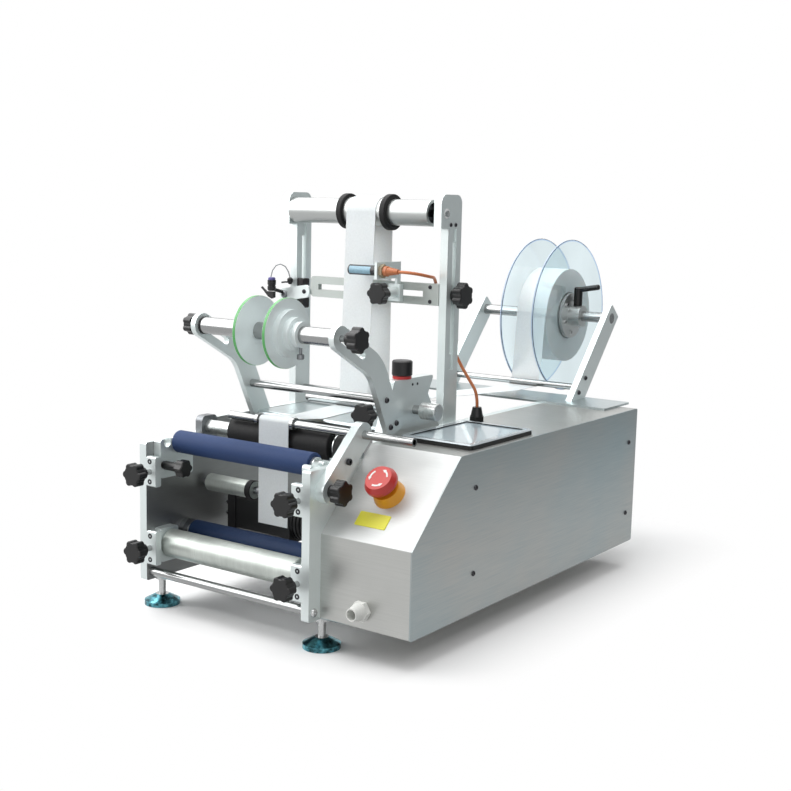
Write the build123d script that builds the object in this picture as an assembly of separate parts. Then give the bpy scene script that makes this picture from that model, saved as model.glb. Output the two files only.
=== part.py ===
from build123d import *
import math
import os

# Bottle labelling machine in millimetres: +X right, +Y back, +Z up.
# It is modelled from the control box's right, front and bottom faces, and moved at the end
# so that the origin lies on the floor under the middle of the machine.

# Clearances
running_clearance = 0.05
seat_clearance = 0.2
passing_gap = 0.3

# Control box
box_width = 134.0
box_length = 600.0
box_height = 205.0
box_front_height = 108.0
box_slope_depth = 100.0
box_wall = 2.0
box_flange = 12.0
box_edge_radius = 3.0

# Side plates
plate_thickness = 12.0
inner_width = 265.0
plate_front = -22.0
plate_front_drop = 18.0
plate_step_start = 81.0
plate_step_end = 97.0
plate_corner_radius = 3.0
raised_front_foot = 112.0
raised_front = 147.0
raised_back = 238.0
raised_rise = 74.0
notch_y = 225.0
notch_rise = 50.0
raised_back_foot = 256.0

# Levelling feet
ground_clearance = 40.0
foot_radius = 24.0
foot_rim_height = 6.0
foot_dome_height = 14.0
foot_stem_radius = 5.0
foot_nut_radius = 9.0
foot_nut_height = 6.0
front_foot_y = 12.0
back_foot_inset = 30.0

# Tie bars between the plates
front_bar_y = -12.0
front_bar_z = 11.0
front_bar_radius = 6.0
back_bar_z = 40.0
back_bar_radius = 8.0
middle_bar_y = 330.0
end_bar_inset = 15.0
platform_bar_y = 205.0
platform_bar_radius = 7.0

# Rollers
roller_left_inset = 17.0
upper_roller_y = 22.0
upper_roller_drop = 20.0
upper_roller_radius = 15.0
upper_roller_right_inset = 17.0
upper_core_radius = 10.0
upper_journal_radius = 6.0
drive_roller_y = 52.0
drive_roller_z = 57.0
drive_roller_radius = 15.0
drive_core_radius = 10.0
support_roller_y = 10.0
support_roller_z = 48.0
support_roller_radius = 19.0
support_journal_radius = 5.0
shaft_radius = 7.0
traction_roller_y = 85.0
traction_roller_drop = 8.0
traction_roller_radius = 20.0
traction_core_radius = 9.0
traction_left_inset = 62.0
traction_right_inset = 33.0
pulley_zone_inset = 14.0
pulley_width = 12.0
pulley_radius = 14.0
pulley_flange = 1.2
pulley_flange_rise = 2.5
belt_thickness = 1.6
guide_journal_radius = 5.0
inner_guide_y = 90.0
inner_guide_z = 117.5
inner_guide_radius = 12.0
inner_guide_gap = 9.5
inner_guide_length = 72.0
inner_collar_radius = 13.0
inner_collar_width = 10.0
rubber_edge = 1.5
roller_chamfer = 1.0

# Bearings
bearing_depth = 12.0
housing_width = 30.0
housing_drop = 31.0
housing_top_rise = 15.0
flange_bearing_depth = 8.0
flange_bearing_radius = 15.0

# Adjusting screws, blocks, slides and combs
block_width = 17.0
block_depth = 10.0
block_chamfer = 1.5
screw_radius = 4.0
screw_tip_y = -1.0
screw_reach = 11.0
upper_screw_drop = 36.0
upper_block_height = 40.0
lower_screw_z = 46.0
lower_block_height = 46.0
slide_width = 12.0
slide_front = -8.0
slide_back = 24.0
slide_bottom = 24.0
slide_top = 70.0
slide_bore_end = 4.0
comb_back = 52.0
comb_drop = 47.0
comb_rise = 5.0
slide_corner = 4.0
comb_notch_pitch = 17.5
comb_notch_steps = (-1, 0, 1)

# Star knobs
star_knob_radius = 16.0
star_knob_height = 13.0
star_lobes = 6
star_lobe_share = 0.3
star_core_share = 0.83
knob_hub_radius = 8.0
knob_hub_height = 9.0
short_hub_height = 4.0

# Motor and its bracket
motor_y = 134.0
motor_z = 76.0
motor_shaft_radius = 6.0
motor_size = 57.0
motor_length = 112.0
motor_corner = 6.0
motor_cap_length = 14.0
motor_stack_step = 1.5
gearbox_radius = 28.0
gearbox_length = 88.0
gearbox_flange = 9.0
gearbox_ring_depth = 1.5
gearbox_ring_width = 3.0
gearbox_rings = 5
bracket_thickness = 6.0
bracket_front = 74.0
bracket_back = 176.0
bracket_bottom = 40.0
bracket_top = 140.0
standoff_radius = 6.0

# Platform, label strip and the bars that guide it
strip_width = 50.0
strip_thickness = 0.6
strip_run_rise = 14.4
platform_thickness = 10.0
platform_front = 131.0
platform_back = 268.0
platform_lip_radius = 4.0
mast_strip_x = -275.0
front_strip_x = -264.0
reel_x = -207.0
strip_end_z = 84.0
turn_bar_radius = 6.0
front_turn_bar_y = 240.0

# Mast
post_depth = 33.0
post_front = 282.0
post_height = 267.0
right_post_drop = 105.0
post_groove_width = 9.0
post_groove_depth = 2.0
post_slot_foot = 95.0
post_slot_end = 17.0
top_bracket_front = 264.0
top_bracket_height = 46.0
top_bracket_corner = 12.0
guide_axis_y = 277.0
guide_axis_rise = 20.5
guide_shaft_radius = 5.0
guide_tube_radius = 18.0
guide_sleeve_radius = 20.0
guide_left_gap = 2.0
guide_right_gap = 9.0
guide_end_bore = 14.0
guide_end_depth = 6.0
collar_radius = 25.0
collar_width = 9.0
collar_strip_gap = 8.0

# Sensor crossbar, carrier and sensor
crossbar_front = 281.0
crossbar_depth = 8.0
crossbar_left = -383.0
crossbar_foot = 12.0
crossbar_height = 30.0
crossbar_rise = 177.0
crossbar_slot_width = 8.4
crossbar_slot_end = 14.0
clamp_stud_radius = 4.0
clamp_knob_radius = 18.0
carrier_x = -227.0
carrier_width = 20.0
carrier_boss_length = 21.0
carrier_arm_offset = 11.0
carrier_arm_width = 4.0
carrier_arm_margin = 4.0
carrier_plate = 8.0
carrier_height = 24.0
carrier_tab_rise = 43.0
sensor_y = 235.0
sensor_rise = 31.0
sensor_radius = 7.0
sensor_chamfer = 0.8
sensor_length = 66.0
sensor_right_end = -210.0
sensor_nut_radius = 9.5
sensor_nut_width = 5.0
boot_base_radius = 6.0
boot_tip_radius = 3.5
boot_length = 16.0

# Sensor cable, with its route as steps from the sensor's boot and rises above the gland
cable_radius = 2.2
cord_run_share = 0.45
cable_upper_steps = (
    (11.0, 0.0, 0.0),
    (21.2, 4.4, -0.9),
    (28.6, 12.6, -2.6),
    (32.0, 24.0, -4.8),
    (30.0, 37.5, -6.8),
    (23.5, 52.5, -8.6),
    (17.0, 67.5, -18.5),
    (15.0, 80.0, -41.0),
)
cable_lower_steps = (
    (-51.0, -11.0, 113.0),
    (-42.0, -5.0, 84.0),
    (-29.0, -1.5, 58.0),
    (-14.0, 0.0, 37.0),
    (0.0, 0.0, 19.0),
)
cable_gland_x = -122.0
cable_gland_y = 332.0
gland_nut_radius = 11.0
gland_nut_height = 7.0
gland_dome_radius = 9.0
gland_height = 20.0
gland_taper = 0.7
mains_dome_step = 2.0

# Rewinder for the backing paper
rewind_arm_thickness = 8.0
rewind_arm_width = 31.0
rewind_reach = 226.0
rewind_y = 24.0
rewind_rise = 138.0
rewind_elbow_y = 98.0
rewind_elbow_rise = 97.0
rewind_elbow_radius = 55.0
rewind_foot_y = 142.0
rewind_foot_rise = 8.0
rewind_slot_width = 9.0
rewind_slot_length = 50.0
rewind_bar_y = 119.0
rewind_bar_rise = 53.0
rewind_bar_radius = 5.5
rewind_tube_radius = 11.0
rewind_rod_radius = 4.0
rewind_rod_overhang = 9.0
rewind_left_knob_radius = 14.0
rewind_disc_radius = 43.5
rewind_disc_thickness = 5.0
left_rewind_disc_x = -257.0
right_rewind_disc_x = -214.0
rewind_hub_radii = (30.0, 21.0, 16.0)
rewind_hub_step = 8.0

# Supply reel
reel_overhang = 105.0
reel_rise = 124.0
reel_arm_thickness = 10.0
right_reel_arm_x = -105.0
left_reel_arm_x = -342.0
reel_arm_width = 34.0
reel_arm_corner = 6.0
reel_arm_foot_inset = 2.0
reel_shaft_radius = 8.5
reel_bar_overhang = 12.0
reel_bar_radius = 5.0
reel_disc_radius = 124.0
reel_disc_thickness = 3.0
roll_radius = 76.0
roll_core_radius = 38.0
roll_width = 52.0
roll_side_gap = 1.0
reel_flange_radius = 37.0
reel_flange_width = 5.0
reel_collar_radius = 17.0
reel_collar_width = 20.0
lever_stud_radius = 3.0
lever_hub_radius = 7.0
lever_hub_height = 30.0
lever_length = 38.0
lever_tilt = 80.0
lever_chamfer = 2.0
lever_radius = 4.5
base_plate_thickness = 3.0
base_plate_inset = 55.0
base_plate_overhang = 32.0
base_plate_corner = 4.0
base_plate_right = -28.0

# Peel arm and bar on the outside of the right plate
peel_arm_thickness = 12.0
peel_arm_width = 31.0
peel_bar_y = 68.0
peel_bar_rise = 16.0
peel_bar_radius = 5.5
peel_bar_bore = 3.5
peel_bar_right = -47.0
peel_bar_left = -345.0
peel_ring_radius = 8.5
peel_ring_width = 5.0
peel_ring_gap = 2.0
peel_foot_y = 3.0
peel_foot_drop = 44.0

# Brake knob on the raised plate's front edge, and tension knob on its top edge
brake_knob_rise = 35.0
brake_stud_reach = 27.0
tension_knob_y = 172.0
tension_knob_radius = 13.5
tension_knob_height = 20.0
tension_collar_height = 4.0
tension_collar_step = 1.0
tension_chamfer = 1.5

# Touch screen, emergency stop and mains gland
screen_width = 108.0
screen_length = 155.0
screen_height = 7.0
screen_corner = 5.0
screen_margin = 9.0
screen_recess = 1.5
screen_x = -65.0
screen_front = 140.0
stop_x = -69.0
stop_slope_share = 0.5
stop_collar_radius = 20.5
stop_collar_height = 14.0
stop_collar_taper = 3.0
stop_barrel_radius = 11.0
stop_barrel_depth = 30.0
stop_stem_radius = 8.0
stop_head_radius = 21.0
stop_head_height = 14.0
stop_head_lift = 21.0
stop_head_edge = 3.0
stop_head_crown = 4.0
mains_gland_x = -70.0
mains_gland_z = 24.0
mains_gland_radius = 13.0
mains_gland_length = 22.0

# Electronics inside the box
supply_size = (100.0, 200.0, 42.0)
driver_size = (34.0, 120.0, 86.0)
supply_y = 420.0
driver_y = 240.0
case_chamfer = 2.0

# Places that follow from the sizes
right_out = -box_width
right_in = right_out - plate_thickness
left_in = right_in - inner_width
left_out = left_in - plate_thickness
plate_front_top = box_height - plate_front_drop
raised_top = box_height + raised_rise
notch_z = box_height + notch_rise
back_foot_y = box_length - back_foot_inset
end_bar_y = box_length - end_bar_inset
upper_roller_z = box_height - upper_roller_drop
traction_roller_z = box_height - traction_roller_drop
upper_screw_z = upper_roller_z - upper_screw_drop
strip_run_z = box_height + strip_run_rise
post_top = box_height + post_height
guide_axis_z = post_top + guide_axis_rise
crossbar_z = box_height + crossbar_rise
sensor_z = crossbar_z + sensor_rise
rewind_z = box_height + rewind_rise
rewind_bar_z = box_height + rewind_bar_rise
reel_y = box_length + reel_overhang
reel_z = box_height + reel_rise
reel_bar_y = box_length + reel_bar_overhang
base_plate_front = box_length - base_plate_inset
peel_bar_z = box_height + peel_bar_rise
peel_foot_z = box_height - peel_foot_drop
brake_knob_z = box_height + brake_knob_rise
pulley_right = right_in - pulley_zone_inset
pulley_left = pulley_right - pulley_width
roller_right = pulley_left - passing_gap - pulley_flange
right_slide_out = right_in - passing_gap
left_slide_out = left_in + passing_gap
post_middle = post_front + post_depth / 2
right_post_in = right_in - plate_thickness
rewind_right = right_out + rewind_arm_thickness
platform_left = rewind_right - rewind_arm_thickness - rewind_reach + rewind_arm_thickness
bracket_right = pulley_left - bracket_thickness
platform_top = strip_run_z - strip_thickness / 2 - passing_gap
web_offset = strip_thickness / 2 + passing_gap
turn_bar_z = strip_run_z + web_offset + turn_bar_radius
back_turn_bar_y = guide_axis_y + guide_sleeve_radius + 2 * web_offset + turn_bar_radius
reel_bar_z = strip_run_z + web_offset + reel_bar_radius
slope_angle = math.degrees(math.atan2(box_height - box_front_height, box_slope_depth))
reel_half = roll_width / 2 + roll_side_gap

# Alignment of a round body that stands on its own origin
upright = (Align.CENTER, Align.CENTER, Align.MIN)


def rod(x0, x1, y, z, radius):
    """Round bar along X from x0 to x1."""
    return Pos(x0, y, z) * Rot(0, 90, 0) * Cylinder(radius, x1 - x0, align=upright)


def bar_y(x, y0, y1, z, radius):
    """Round bar along Y from y0 to y1."""
    return Pos(x, y1, z) * Rot(90, 0, 0) * Cylinder(radius, y1 - y0, align=upright)


def post(x, y, z0, z1, radius):
    """Round bar along Z from z0 to z1."""
    return Pos(x, y, z0) * Cylinder(radius, z1 - z0, align=upright)


def block(x0, x1, y0, y1, z0, z1):
    """Box between two corners."""
    return Pos(x0, y0, z0) * Box(x1 - x0, y1 - y0, z1 - z0, align=(Align.MIN, Align.MIN, Align.MIN))


def slab_x(face, x0, x1):
    """A face drawn in Y and Z, made solid from x0 to x1."""
    return extrude(Plane.YZ.offset(x0) * face, amount=x1 - x0, dir=(1, 0, 0))


def outline(*points):
    """A straight-sided face through points of Y and Z."""
    return Polygon(*points, align=None)


def turned(axis_y, axis_z, *points):
    """A body turned about a line along X, from (x, radius) points of its half section."""
    profile = make_face(Polyline(*[(x, r) for x, r in points], close=True))
    body = revolve(profile, axis=Axis.X)
    return Pos(0, axis_y, axis_z) * body


def cross_tangent(c1, r1, c2, r2, turn):
    """Points where a line that passes between two circles touches each of them.

    turn is 1 or -1, for the side of the first circle on which the line lies.
    """
    d = Vector(c2[0] - c1[0], c2[1] - c1[1])
    angle = math.atan2(d.Y, d.X) + turn * math.acos((r1 + r2) / d.length)
    n = (math.cos(angle), math.sin(angle))
    p1 = (c1[0] + r1 * n[0], c1[1] + r1 * n[1])
    p2 = (c2[0] - r2 * n[0], c2[1] - r2 * n[1])
    return p1, p2


def arc_about(center, start, end, bulge):
    """Arc about a centre from start to end, by way of the bulge direction."""
    radius = math.dist(center, start)
    size = math.hypot(*bulge)
    middle = (center[0] + radius * bulge[0] / size, center[1] + radius * bulge[1] / size)
    return ThreePointArc(start, middle, end)


def star_knob(radius, stud_radius, stud_length, hub_height=knob_hub_height):
    """Lobed knob standing on the XY plane, with its hub below it and its stud pointing down."""
    lobe = radius * star_lobe_share
    star = Circle(radius * star_core_share)
    star += PolarLocations(radius - lobe, star_lobes) * Circle(lobe)
    head = Pos(0, 0, hub_height) * extrude(star, amount=star_knob_height)
    head = fillet(head.faces().sort_by(Axis.Z)[-1].edges(), lobe / 3)
    hub = Cylinder(knob_hub_radius, hub_height, align=upright)
    stud = Pos(0, 0, -stud_length) * Cylinder(stud_radius, stud_length, align=upright)
    return head + hub + stud


def hexagon_nut(radius, height):
    """Six-sided nut standing on the XY plane."""
    return extrude(RegularPolygon(radius, 6), amount=height)


# Frame
def left_side_plate():
    face = outline(
        (plate_front, 0),
        (box_length, 0),
        (box_length, box_height),
        (plate_step_end, box_height),
        (plate_step_start, plate_front_top),
        (plate_front, plate_front_top),
    )
    face = fillet(face.vertices(), plate_corner_radius)
    plate = slab_x(face, left_out, left_in)
    bore = guide_journal_radius + running_clearance
    return plate - rod(left_out, left_in, inner_guide_y, inner_guide_z, bore)


def right_side_plate():
    face = outline(
        (plate_front, 0),
        (box_length, 0),
        (box_length, box_height),
        (raised_back_foot, box_height),
        (notch_y, notch_z),
        (raised_back, raised_top),
        (raised_front, raised_top),
        (raised_front_foot, plate_front_top),
        (plate_front, plate_front_top),
    )
    face = fillet(face.vertices(), plate_corner_radius)
    plate = slab_x(face, right_out - plate_thickness, right_out)
    plate -= rod(right_in, right_out, peel_bar_y, peel_bar_z, peel_bar_radius + seat_clearance)
    plate -= Pos(middle_of_right_plate(), brake_seat_y(), brake_knob_z) * Rot(90, 0, 0) * Cylinder(
        screw_radius + running_clearance, 2 * knob_stud_length()
    )
    plate -= post(
        middle_of_right_plate(), tension_knob_y, raised_top - knob_stud_length(), raised_top,
        screw_radius + running_clearance,
    )
    return plate


def middle_of_right_plate():
    return right_out - plate_thickness / 2


def brake_seat_y():
    """Y of the raised plate's sloping front edge at the brake knob's height."""
    share = (brake_knob_z - plate_front_top) / (raised_top - plate_front_top)
    return raised_front_foot + share * (raised_front - raised_front_foot)


def knob_stud_length():
    return 2 * plate_thickness


def tie_bars():
    bars = [
        rod(left_in, right_in, front_bar_y, front_bar_z, front_bar_radius),
        rod(left_in, right_in, middle_bar_y, back_bar_z, back_bar_radius),
        rod(left_in, right_in, end_bar_y, back_bar_z, back_bar_radius),
        rod(
            left_in, right_in, platform_bar_y,
            platform_top - platform_thickness - platform_bar_radius - passing_gap, platform_bar_radius,
        ),
        rod(platform_left, right_in, front_turn_bar_y, turn_bar_z, turn_bar_radius),
        rod(left_in, right_post_in, back_turn_bar_y, turn_bar_z, turn_bar_radius),
        rod(platform_left, right_out, rewind_bar_y, rewind_bar_z, rewind_bar_radius),
        rod(
            left_reel_arm_x + reel_arm_thickness / 2, right_reel_arm_x - reel_arm_thickness / 2,
            reel_bar_y, reel_bar_z, reel_bar_radius,
        ),
    ]
    return bars


def label_platform():
    bottom = platform_top - platform_thickness
    face = outline(
        (platform_front, bottom),
        (platform_back, bottom),
        (platform_back, platform_top),
        (platform_front, platform_top),
    )
    face = fillet(face.vertices(), platform_lip_radius)
    return slab_x(face, platform_left, right_in)


def levelling_feet():
    feet = []
    for x in ((left_out + left_in) / 2, middle_of_right_plate()):
        for y in (front_foot_y, back_foot_y):
            profile = make_face(
                Polyline(
                    (0, 0),
                    (foot_radius, 0),
                    (foot_radius, foot_rim_height),
                    (foot_nut_radius, foot_dome_height),
                    (foot_stem_radius, foot_dome_height),
                    (foot_stem_radius, ground_clearance),
                    (0, ground_clearance),
                    close=True,
                )
            )
            foot = revolve(Plane.XZ * profile, axis=Axis.Z)
            nut = hexagon_nut(foot_nut_radius, foot_nut_height)
            foot += Pos(0, 0, ground_clearance - foot_nut_height) * nut
            feet.append(Pos(x, y, -ground_clearance) * foot)
    return feet


# Control box
def box_profile():
    return outline(
        (0, 0),
        (box_length, 0),
        (box_length, box_height),
        (box_slope_depth, box_height),
        (0, box_front_height),
    )


def box_outer():
    return fillet(box_profile().vertices(), box_edge_radius)


def stop_plane():
    """Plane on the sloping panel at the emergency stop, with its Z axis out of the panel."""
    y = stop_slope_share * box_slope_depth
    z = box_front_height + stop_slope_share * (box_height - box_front_height)
    normal = (0, -math.sin(math.radians(slope_angle)), math.cos(math.radians(slope_angle)))
    return Plane(origin=(stop_x, y, z), x_dir=(1, 0, 0), z_dir=normal)


def control_box():
    outer = box_outer()
    inner = offset(box_profile(), -box_wall)
    opening = offset(box_profile(), -box_wall - box_flange)
    shell = slab_x(outer, right_out, -box_wall)
    shell -= slab_x(inner, right_out + box_wall, -2 * box_wall)
    shell -= slab_x(opening, -2 * box_wall, -box_wall)
    shell -= stop_plane() * Cylinder(stop_barrel_radius + seat_clearance, 4 * box_wall)
    shell -= post(
        cable_gland_x, cable_gland_y, box_height - box_wall, box_height, cable_radius + seat_clearance
    )
    shell -= bar_y(mains_gland_x, 0, box_wall, mains_gland_z, mains_gland_radius / 2 + seat_clearance)
    return shell


def box_side_cover():
    return slab_x(box_outer(), -box_wall, 0)


def screen_rectangle(margin, radius):
    return RectangleRounded(screen_width - 2 * margin, screen_length - 2 * margin, radius)


def screen_place(z):
    return Pos(screen_x, screen_front + screen_length / 2, z)


def touch_screen_frame():
    frame = screen_place(box_height) * extrude(screen_rectangle(0, screen_corner), amount=screen_height)
    frame = chamfer(frame.faces().sort_by(Axis.Z)[-1].edges(), screen_recess)
    pocket = extrude(screen_rectangle(screen_margin, screen_recess), amount=screen_height)
    return frame - screen_place(box_height + screen_height - 2 * screen_recess) * pocket


def touch_screen_glass():
    glass = extrude(screen_rectangle(screen_margin + seat_clearance, screen_recess), amount=screen_recess)
    return screen_place(box_height + screen_height - 2 * screen_recess) * glass


def emergency_stop_body():
    collar_top = stop_collar_radius - stop_collar_taper
    collar = Cone(stop_collar_radius, collar_top, stop_collar_height, align=upright)
    barrel = Pos(0, 0, -stop_barrel_depth) * Cylinder(stop_barrel_radius, stop_barrel_depth, align=upright)
    bore = Cylinder(stop_stem_radius + running_clearance, stop_head_lift, align=upright)
    return stop_plane() * (collar + barrel - bore)


def emergency_stop_head():
    base = stop_head_lift
    rim = base + stop_head_height / 2
    top = base + stop_head_height
    profile = make_face(
        Polyline(
            (0, stop_collar_height / 2),
            (stop_stem_radius, stop_collar_height / 2),
            (stop_stem_radius, base),
            (stop_head_radius - stop_head_edge, base),
            (stop_head_radius, base + stop_head_edge),
            (stop_head_radius, rim),
            (stop_head_radius - stop_head_crown, top),
            (0, top),
            close=True,
        )
    )
    return stop_plane() * revolve(Plane.XZ * profile, axis=Axis.Z)


def gland(nut_radius, nut_height, dome_radius, height, bore_radius):
    """Cable gland standing on the XY plane: nut, dome and cable hole."""
    dome = Cone(dome_radius, dome_radius * gland_taper, height - nut_height, align=upright)
    body = hexagon_nut(nut_radius, nut_height) + Pos(0, 0, nut_height) * dome
    return body - Cylinder(bore_radius, height, align=upright)


def cable_glands():
    sensor = gland(gland_nut_radius, gland_nut_height, gland_dome_radius, gland_height, cable_radius)
    mains_dome = mains_gland_radius - mains_dome_step
    mains_bore = mains_gland_radius / 2
    mains = gland(mains_gland_radius, gland_nut_height, mains_dome, mains_gland_length, mains_bore)
    return [
        Pos(cable_gland_x, cable_gland_y, box_height) * sensor,
        Pos(mains_gland_x, 0, mains_gland_z) * Rot(90, 0, 0) * mains,
    ]


def control_electronics():
    middle = -box_width / 2
    boxes = []
    for (width, length, height), y in ((supply_size, supply_y), (driver_size, driver_y)):
        x0 = middle - width / 2
        y0 = y - length / 2
        case = block(x0, x0 + width, y0, y0 + length, box_wall, box_wall + height)
        boxes.append(chamfer(case.edges(), case_chamfer))
    return boxes


# Rollers and their drive
def pulley(y, z):
    """Flanged belt pulley."""
    flange = pulley_radius + pulley_flange_rise
    wheel = rod(pulley_left, pulley_right, y, z, pulley_radius)
    wheel += rod(pulley_left - pulley_flange, pulley_left, y, z, flange)
    return wheel + rod(pulley_right, pulley_right + pulley_flange, y, z, flange)


def journal_roller(y, z, x0, x1, body_radius, journal_radius, left_end, right_end):
    """Roller body with a thinner journal at each end."""
    return rod(x0, x1, y, z, body_radius) + rod(left_end, right_end, y, z, journal_radius)


def upper_roller_core():
    return journal_roller(
        upper_roller_y, upper_roller_z,
        left_slide_out + slide_width + passing_gap, right_slide_out - slide_width - passing_gap,
        upper_core_radius, upper_journal_radius, left_slide_out, right_slide_out,
    )


def sleeve(y, z, x0, x1, radius, bore):
    """Rubber sleeve on a core, with softened rims."""
    tube = rod(x0, x1, y, z, radius)
    tube = fillet(tube.edges(), rubber_edge)
    return tube - rod(x0, x1, y, z, bore)


def upper_roller_sleeve():
    return sleeve(
        upper_roller_y, upper_roller_z, left_in + roller_left_inset, right_in - upper_roller_right_inset,
        upper_roller_radius, upper_core_radius,
    )


def drive_roller_shaft():
    shaft = journal_roller(
        drive_roller_y, drive_roller_z,
        left_in + roller_left_inset, roller_right,
        drive_core_radius, shaft_radius, left_in + running_clearance, right_in - running_clearance,
    )
    return shaft + pulley(drive_roller_y, drive_roller_z)


def drive_roller_sleeve():
    return sleeve(
        drive_roller_y, drive_roller_z, left_in + roller_left_inset, roller_right,
        drive_roller_radius, drive_core_radius,
    )


def traction_roller_shaft():
    shaft = journal_roller(
        traction_roller_y, traction_roller_z,
        left_in + bearing_depth + passing_gap, roller_right,
        traction_core_radius, shaft_radius, left_in + running_clearance, right_in - running_clearance,
    )
    return shaft + pulley(traction_roller_y, traction_roller_z)


def traction_roller_sleeve():
    return sleeve(
        traction_roller_y, traction_roller_z, left_in + traction_left_inset, right_in - traction_right_inset,
        traction_roller_radius, traction_core_radius,
    )


def support_roller():
    left = left_slide_out + slide_width + passing_gap
    body = rod(left, roller_right, support_roller_y, support_roller_z, support_roller_radius)
    body = chamfer(body.edges(), roller_chamfer)
    return body + rod(
        left_slide_out, right_slide_out, support_roller_y, support_roller_z, support_journal_radius
    )


def inner_guide_roller():
    left = left_in + inner_guide_gap
    right = left + inner_guide_length
    roller = journal_roller(
        inner_guide_y, inner_guide_z, left, right, inner_guide_radius,
        guide_journal_radius, left_out, bracket_right,
    )
    collar = rod(right, right + inner_collar_width, inner_guide_y, inner_guide_z, inner_collar_radius)
    return roller + chamfer(collar.edges(), roller_chamfer)


def motor_pulley():
    shaft_left = bracket_right - bracket_thickness
    shaft = rod(shaft_left, pulley_right + pulley_flange, motor_y, motor_z, motor_shaft_radius)
    return pulley(motor_y, motor_z) + shaft


def pulley_hull(radius):
    """Belt line round the three pulleys, as a face in Y and Z."""
    circles = [
        Pos(y, z) * Circle(radius)
        for y, z in (
            (drive_roller_y, drive_roller_z),
            (traction_roller_y, traction_roller_z),
            (motor_y, motor_z),
        )
    ]
    return make_hull([edge for circle in circles for edge in circle.edges()])


def timing_belt():
    inner = pulley_radius + passing_gap
    ring = pulley_hull(inner + belt_thickness) - pulley_hull(inner)
    return slab_x(ring, pulley_left + passing_gap, pulley_right - passing_gap)


def motor_block(x0, x1, size):
    """Square length of the motor about its shaft, with its corners cut."""
    half = size / 2
    body = block(x0, x1, motor_y - half, motor_y + half, motor_z - half, motor_z + half)
    return chamfer(body.edges().filter_by(Axis.X), motor_corner)


def drive_motor():
    """Stepper motor with end caps and a ringed gearbox, on the bracket's left face."""
    right = bracket_right - bracket_thickness
    left = right - gearbox_length
    tail = left - motor_length
    motor = motor_block(tail, left, motor_size - 2 * motor_stack_step)
    motor += motor_block(tail, tail + motor_cap_length, motor_size)
    motor += motor_block(left - motor_cap_length, left, motor_size)
    motor += rod(left, right, motor_y, motor_z, gearbox_radius)
    for ring in range(gearbox_rings):
        x0 = left + (2 * ring + 1) * gearbox_ring_width
        x1 = x0 + gearbox_ring_width
        groove = rod(x0, x1, motor_y, motor_z, gearbox_radius)
        motor -= groove - rod(x0, x1, motor_y, motor_z, gearbox_radius - gearbox_ring_depth)
    motor += motor_block(right - gearbox_flange, right, motor_size)
    return motor - rod(left, right, motor_y, motor_z, motor_shaft_radius + running_clearance)


def standoff_places():
    inset = 2 * standoff_radius
    return (
        (bracket_back - inset, bracket_bottom + inset),
        (bracket_back - inset, bracket_top - inset),
        (inner_guide_y + 2 * inset, inner_guide_z),
    )


def motor_bracket():
    face = outline(
        (bracket_front, bracket_bottom),
        (bracket_back, bracket_bottom),
        (bracket_back, bracket_top),
        (bracket_front, bracket_top),
    )
    face = fillet(face.vertices(), standoff_radius)
    plate = slab_x(face, bracket_right - bracket_thickness, bracket_right)
    for y, z in standoff_places():
        plate += rod(bracket_right, right_in, y, z, standoff_radius)
    plate -= rod(left_in, bracket_right, motor_y, motor_z, motor_shaft_radius + running_clearance)
    bore = guide_journal_radius + running_clearance
    return plate - rod(left_in, bracket_right, inner_guide_y, inner_guide_z, bore)


def roller_bearings():
    housings = []
    half = housing_width / 2
    face = outline(
        (traction_roller_y - half, traction_roller_z - housing_drop),
        (traction_roller_y + half, traction_roller_z - housing_drop),
        (traction_roller_y + half, traction_roller_z + housing_top_rise),
        (traction_roller_y - half, traction_roller_z + housing_top_rise),
    )
    face = fillet(face.vertices(), half / 2)
    for x0, x1 in ((left_in, left_in + bearing_depth), (right_in - bearing_depth, right_in)):
        bore = rod(x0, x1, traction_roller_y, traction_roller_z, shaft_radius + running_clearance)
        housings.append(slab_x(face, x0, x1) - bore)
    for x0, x1 in ((left_in, left_in + flange_bearing_depth), (right_in - flange_bearing_depth, right_in)):
        flange = rod(x0, x1, drive_roller_y, drive_roller_z, flange_bearing_radius)
        bore = rod(x0, x1, drive_roller_y, drive_roller_z, shaft_radius + running_clearance)
        housings.append(flange - bore)
    return housings


# Adjusting screws with their blocks, slides and combs
def screw_x(side):
    """X of the adjusting screws, for the left side -1 or the right side 1."""
    if side < 0:
        return left_slide_out + slide_width / 2
    return right_slide_out - slide_width / 2


def adjuster_blocks():
    blocks = []
    for side, x0, x1 in ((-1, left_in, left_in + block_width), (1, right_in - block_width, right_in)):
        for z, height in ((upper_screw_z, upper_block_height), (lower_screw_z, lower_block_height)):
            body = block(x0, x1, plate_front, plate_front + block_depth, z - height / 2, z + height / 2)
            body = chamfer(body.edges().filter_by(Axis.X), block_chamfer)
            bore = screw_radius + running_clearance
            blocks.append(body - bar_y(screw_x(side), plate_front, plate_front + block_depth, z, bore))
    return blocks


def slide_pair(face, screw_z):
    """The same slide against the left and the right plate, bored for its screw."""
    pair = []
    for side, x0 in ((-1, left_slide_out), (1, right_slide_out - slide_width)):
        body = slab_x(face, x0, x0 + slide_width)
        bore = bar_y(screw_x(side), slide_front, slide_bore_end, screw_z, screw_radius + running_clearance)
        pair.append(body - bore)
    return pair


def support_slides():
    face = outline(
        (slide_front, slide_bottom),
        (slide_back, slide_bottom),
        (slide_back, slide_top),
        (slide_front, slide_top),
    )
    face = fillet(face.vertices(), slide_corner)
    face -= Pos(support_roller_y, support_roller_z) * Circle(support_journal_radius + running_clearance)
    return slide_pair(face, lower_screw_z)


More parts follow.
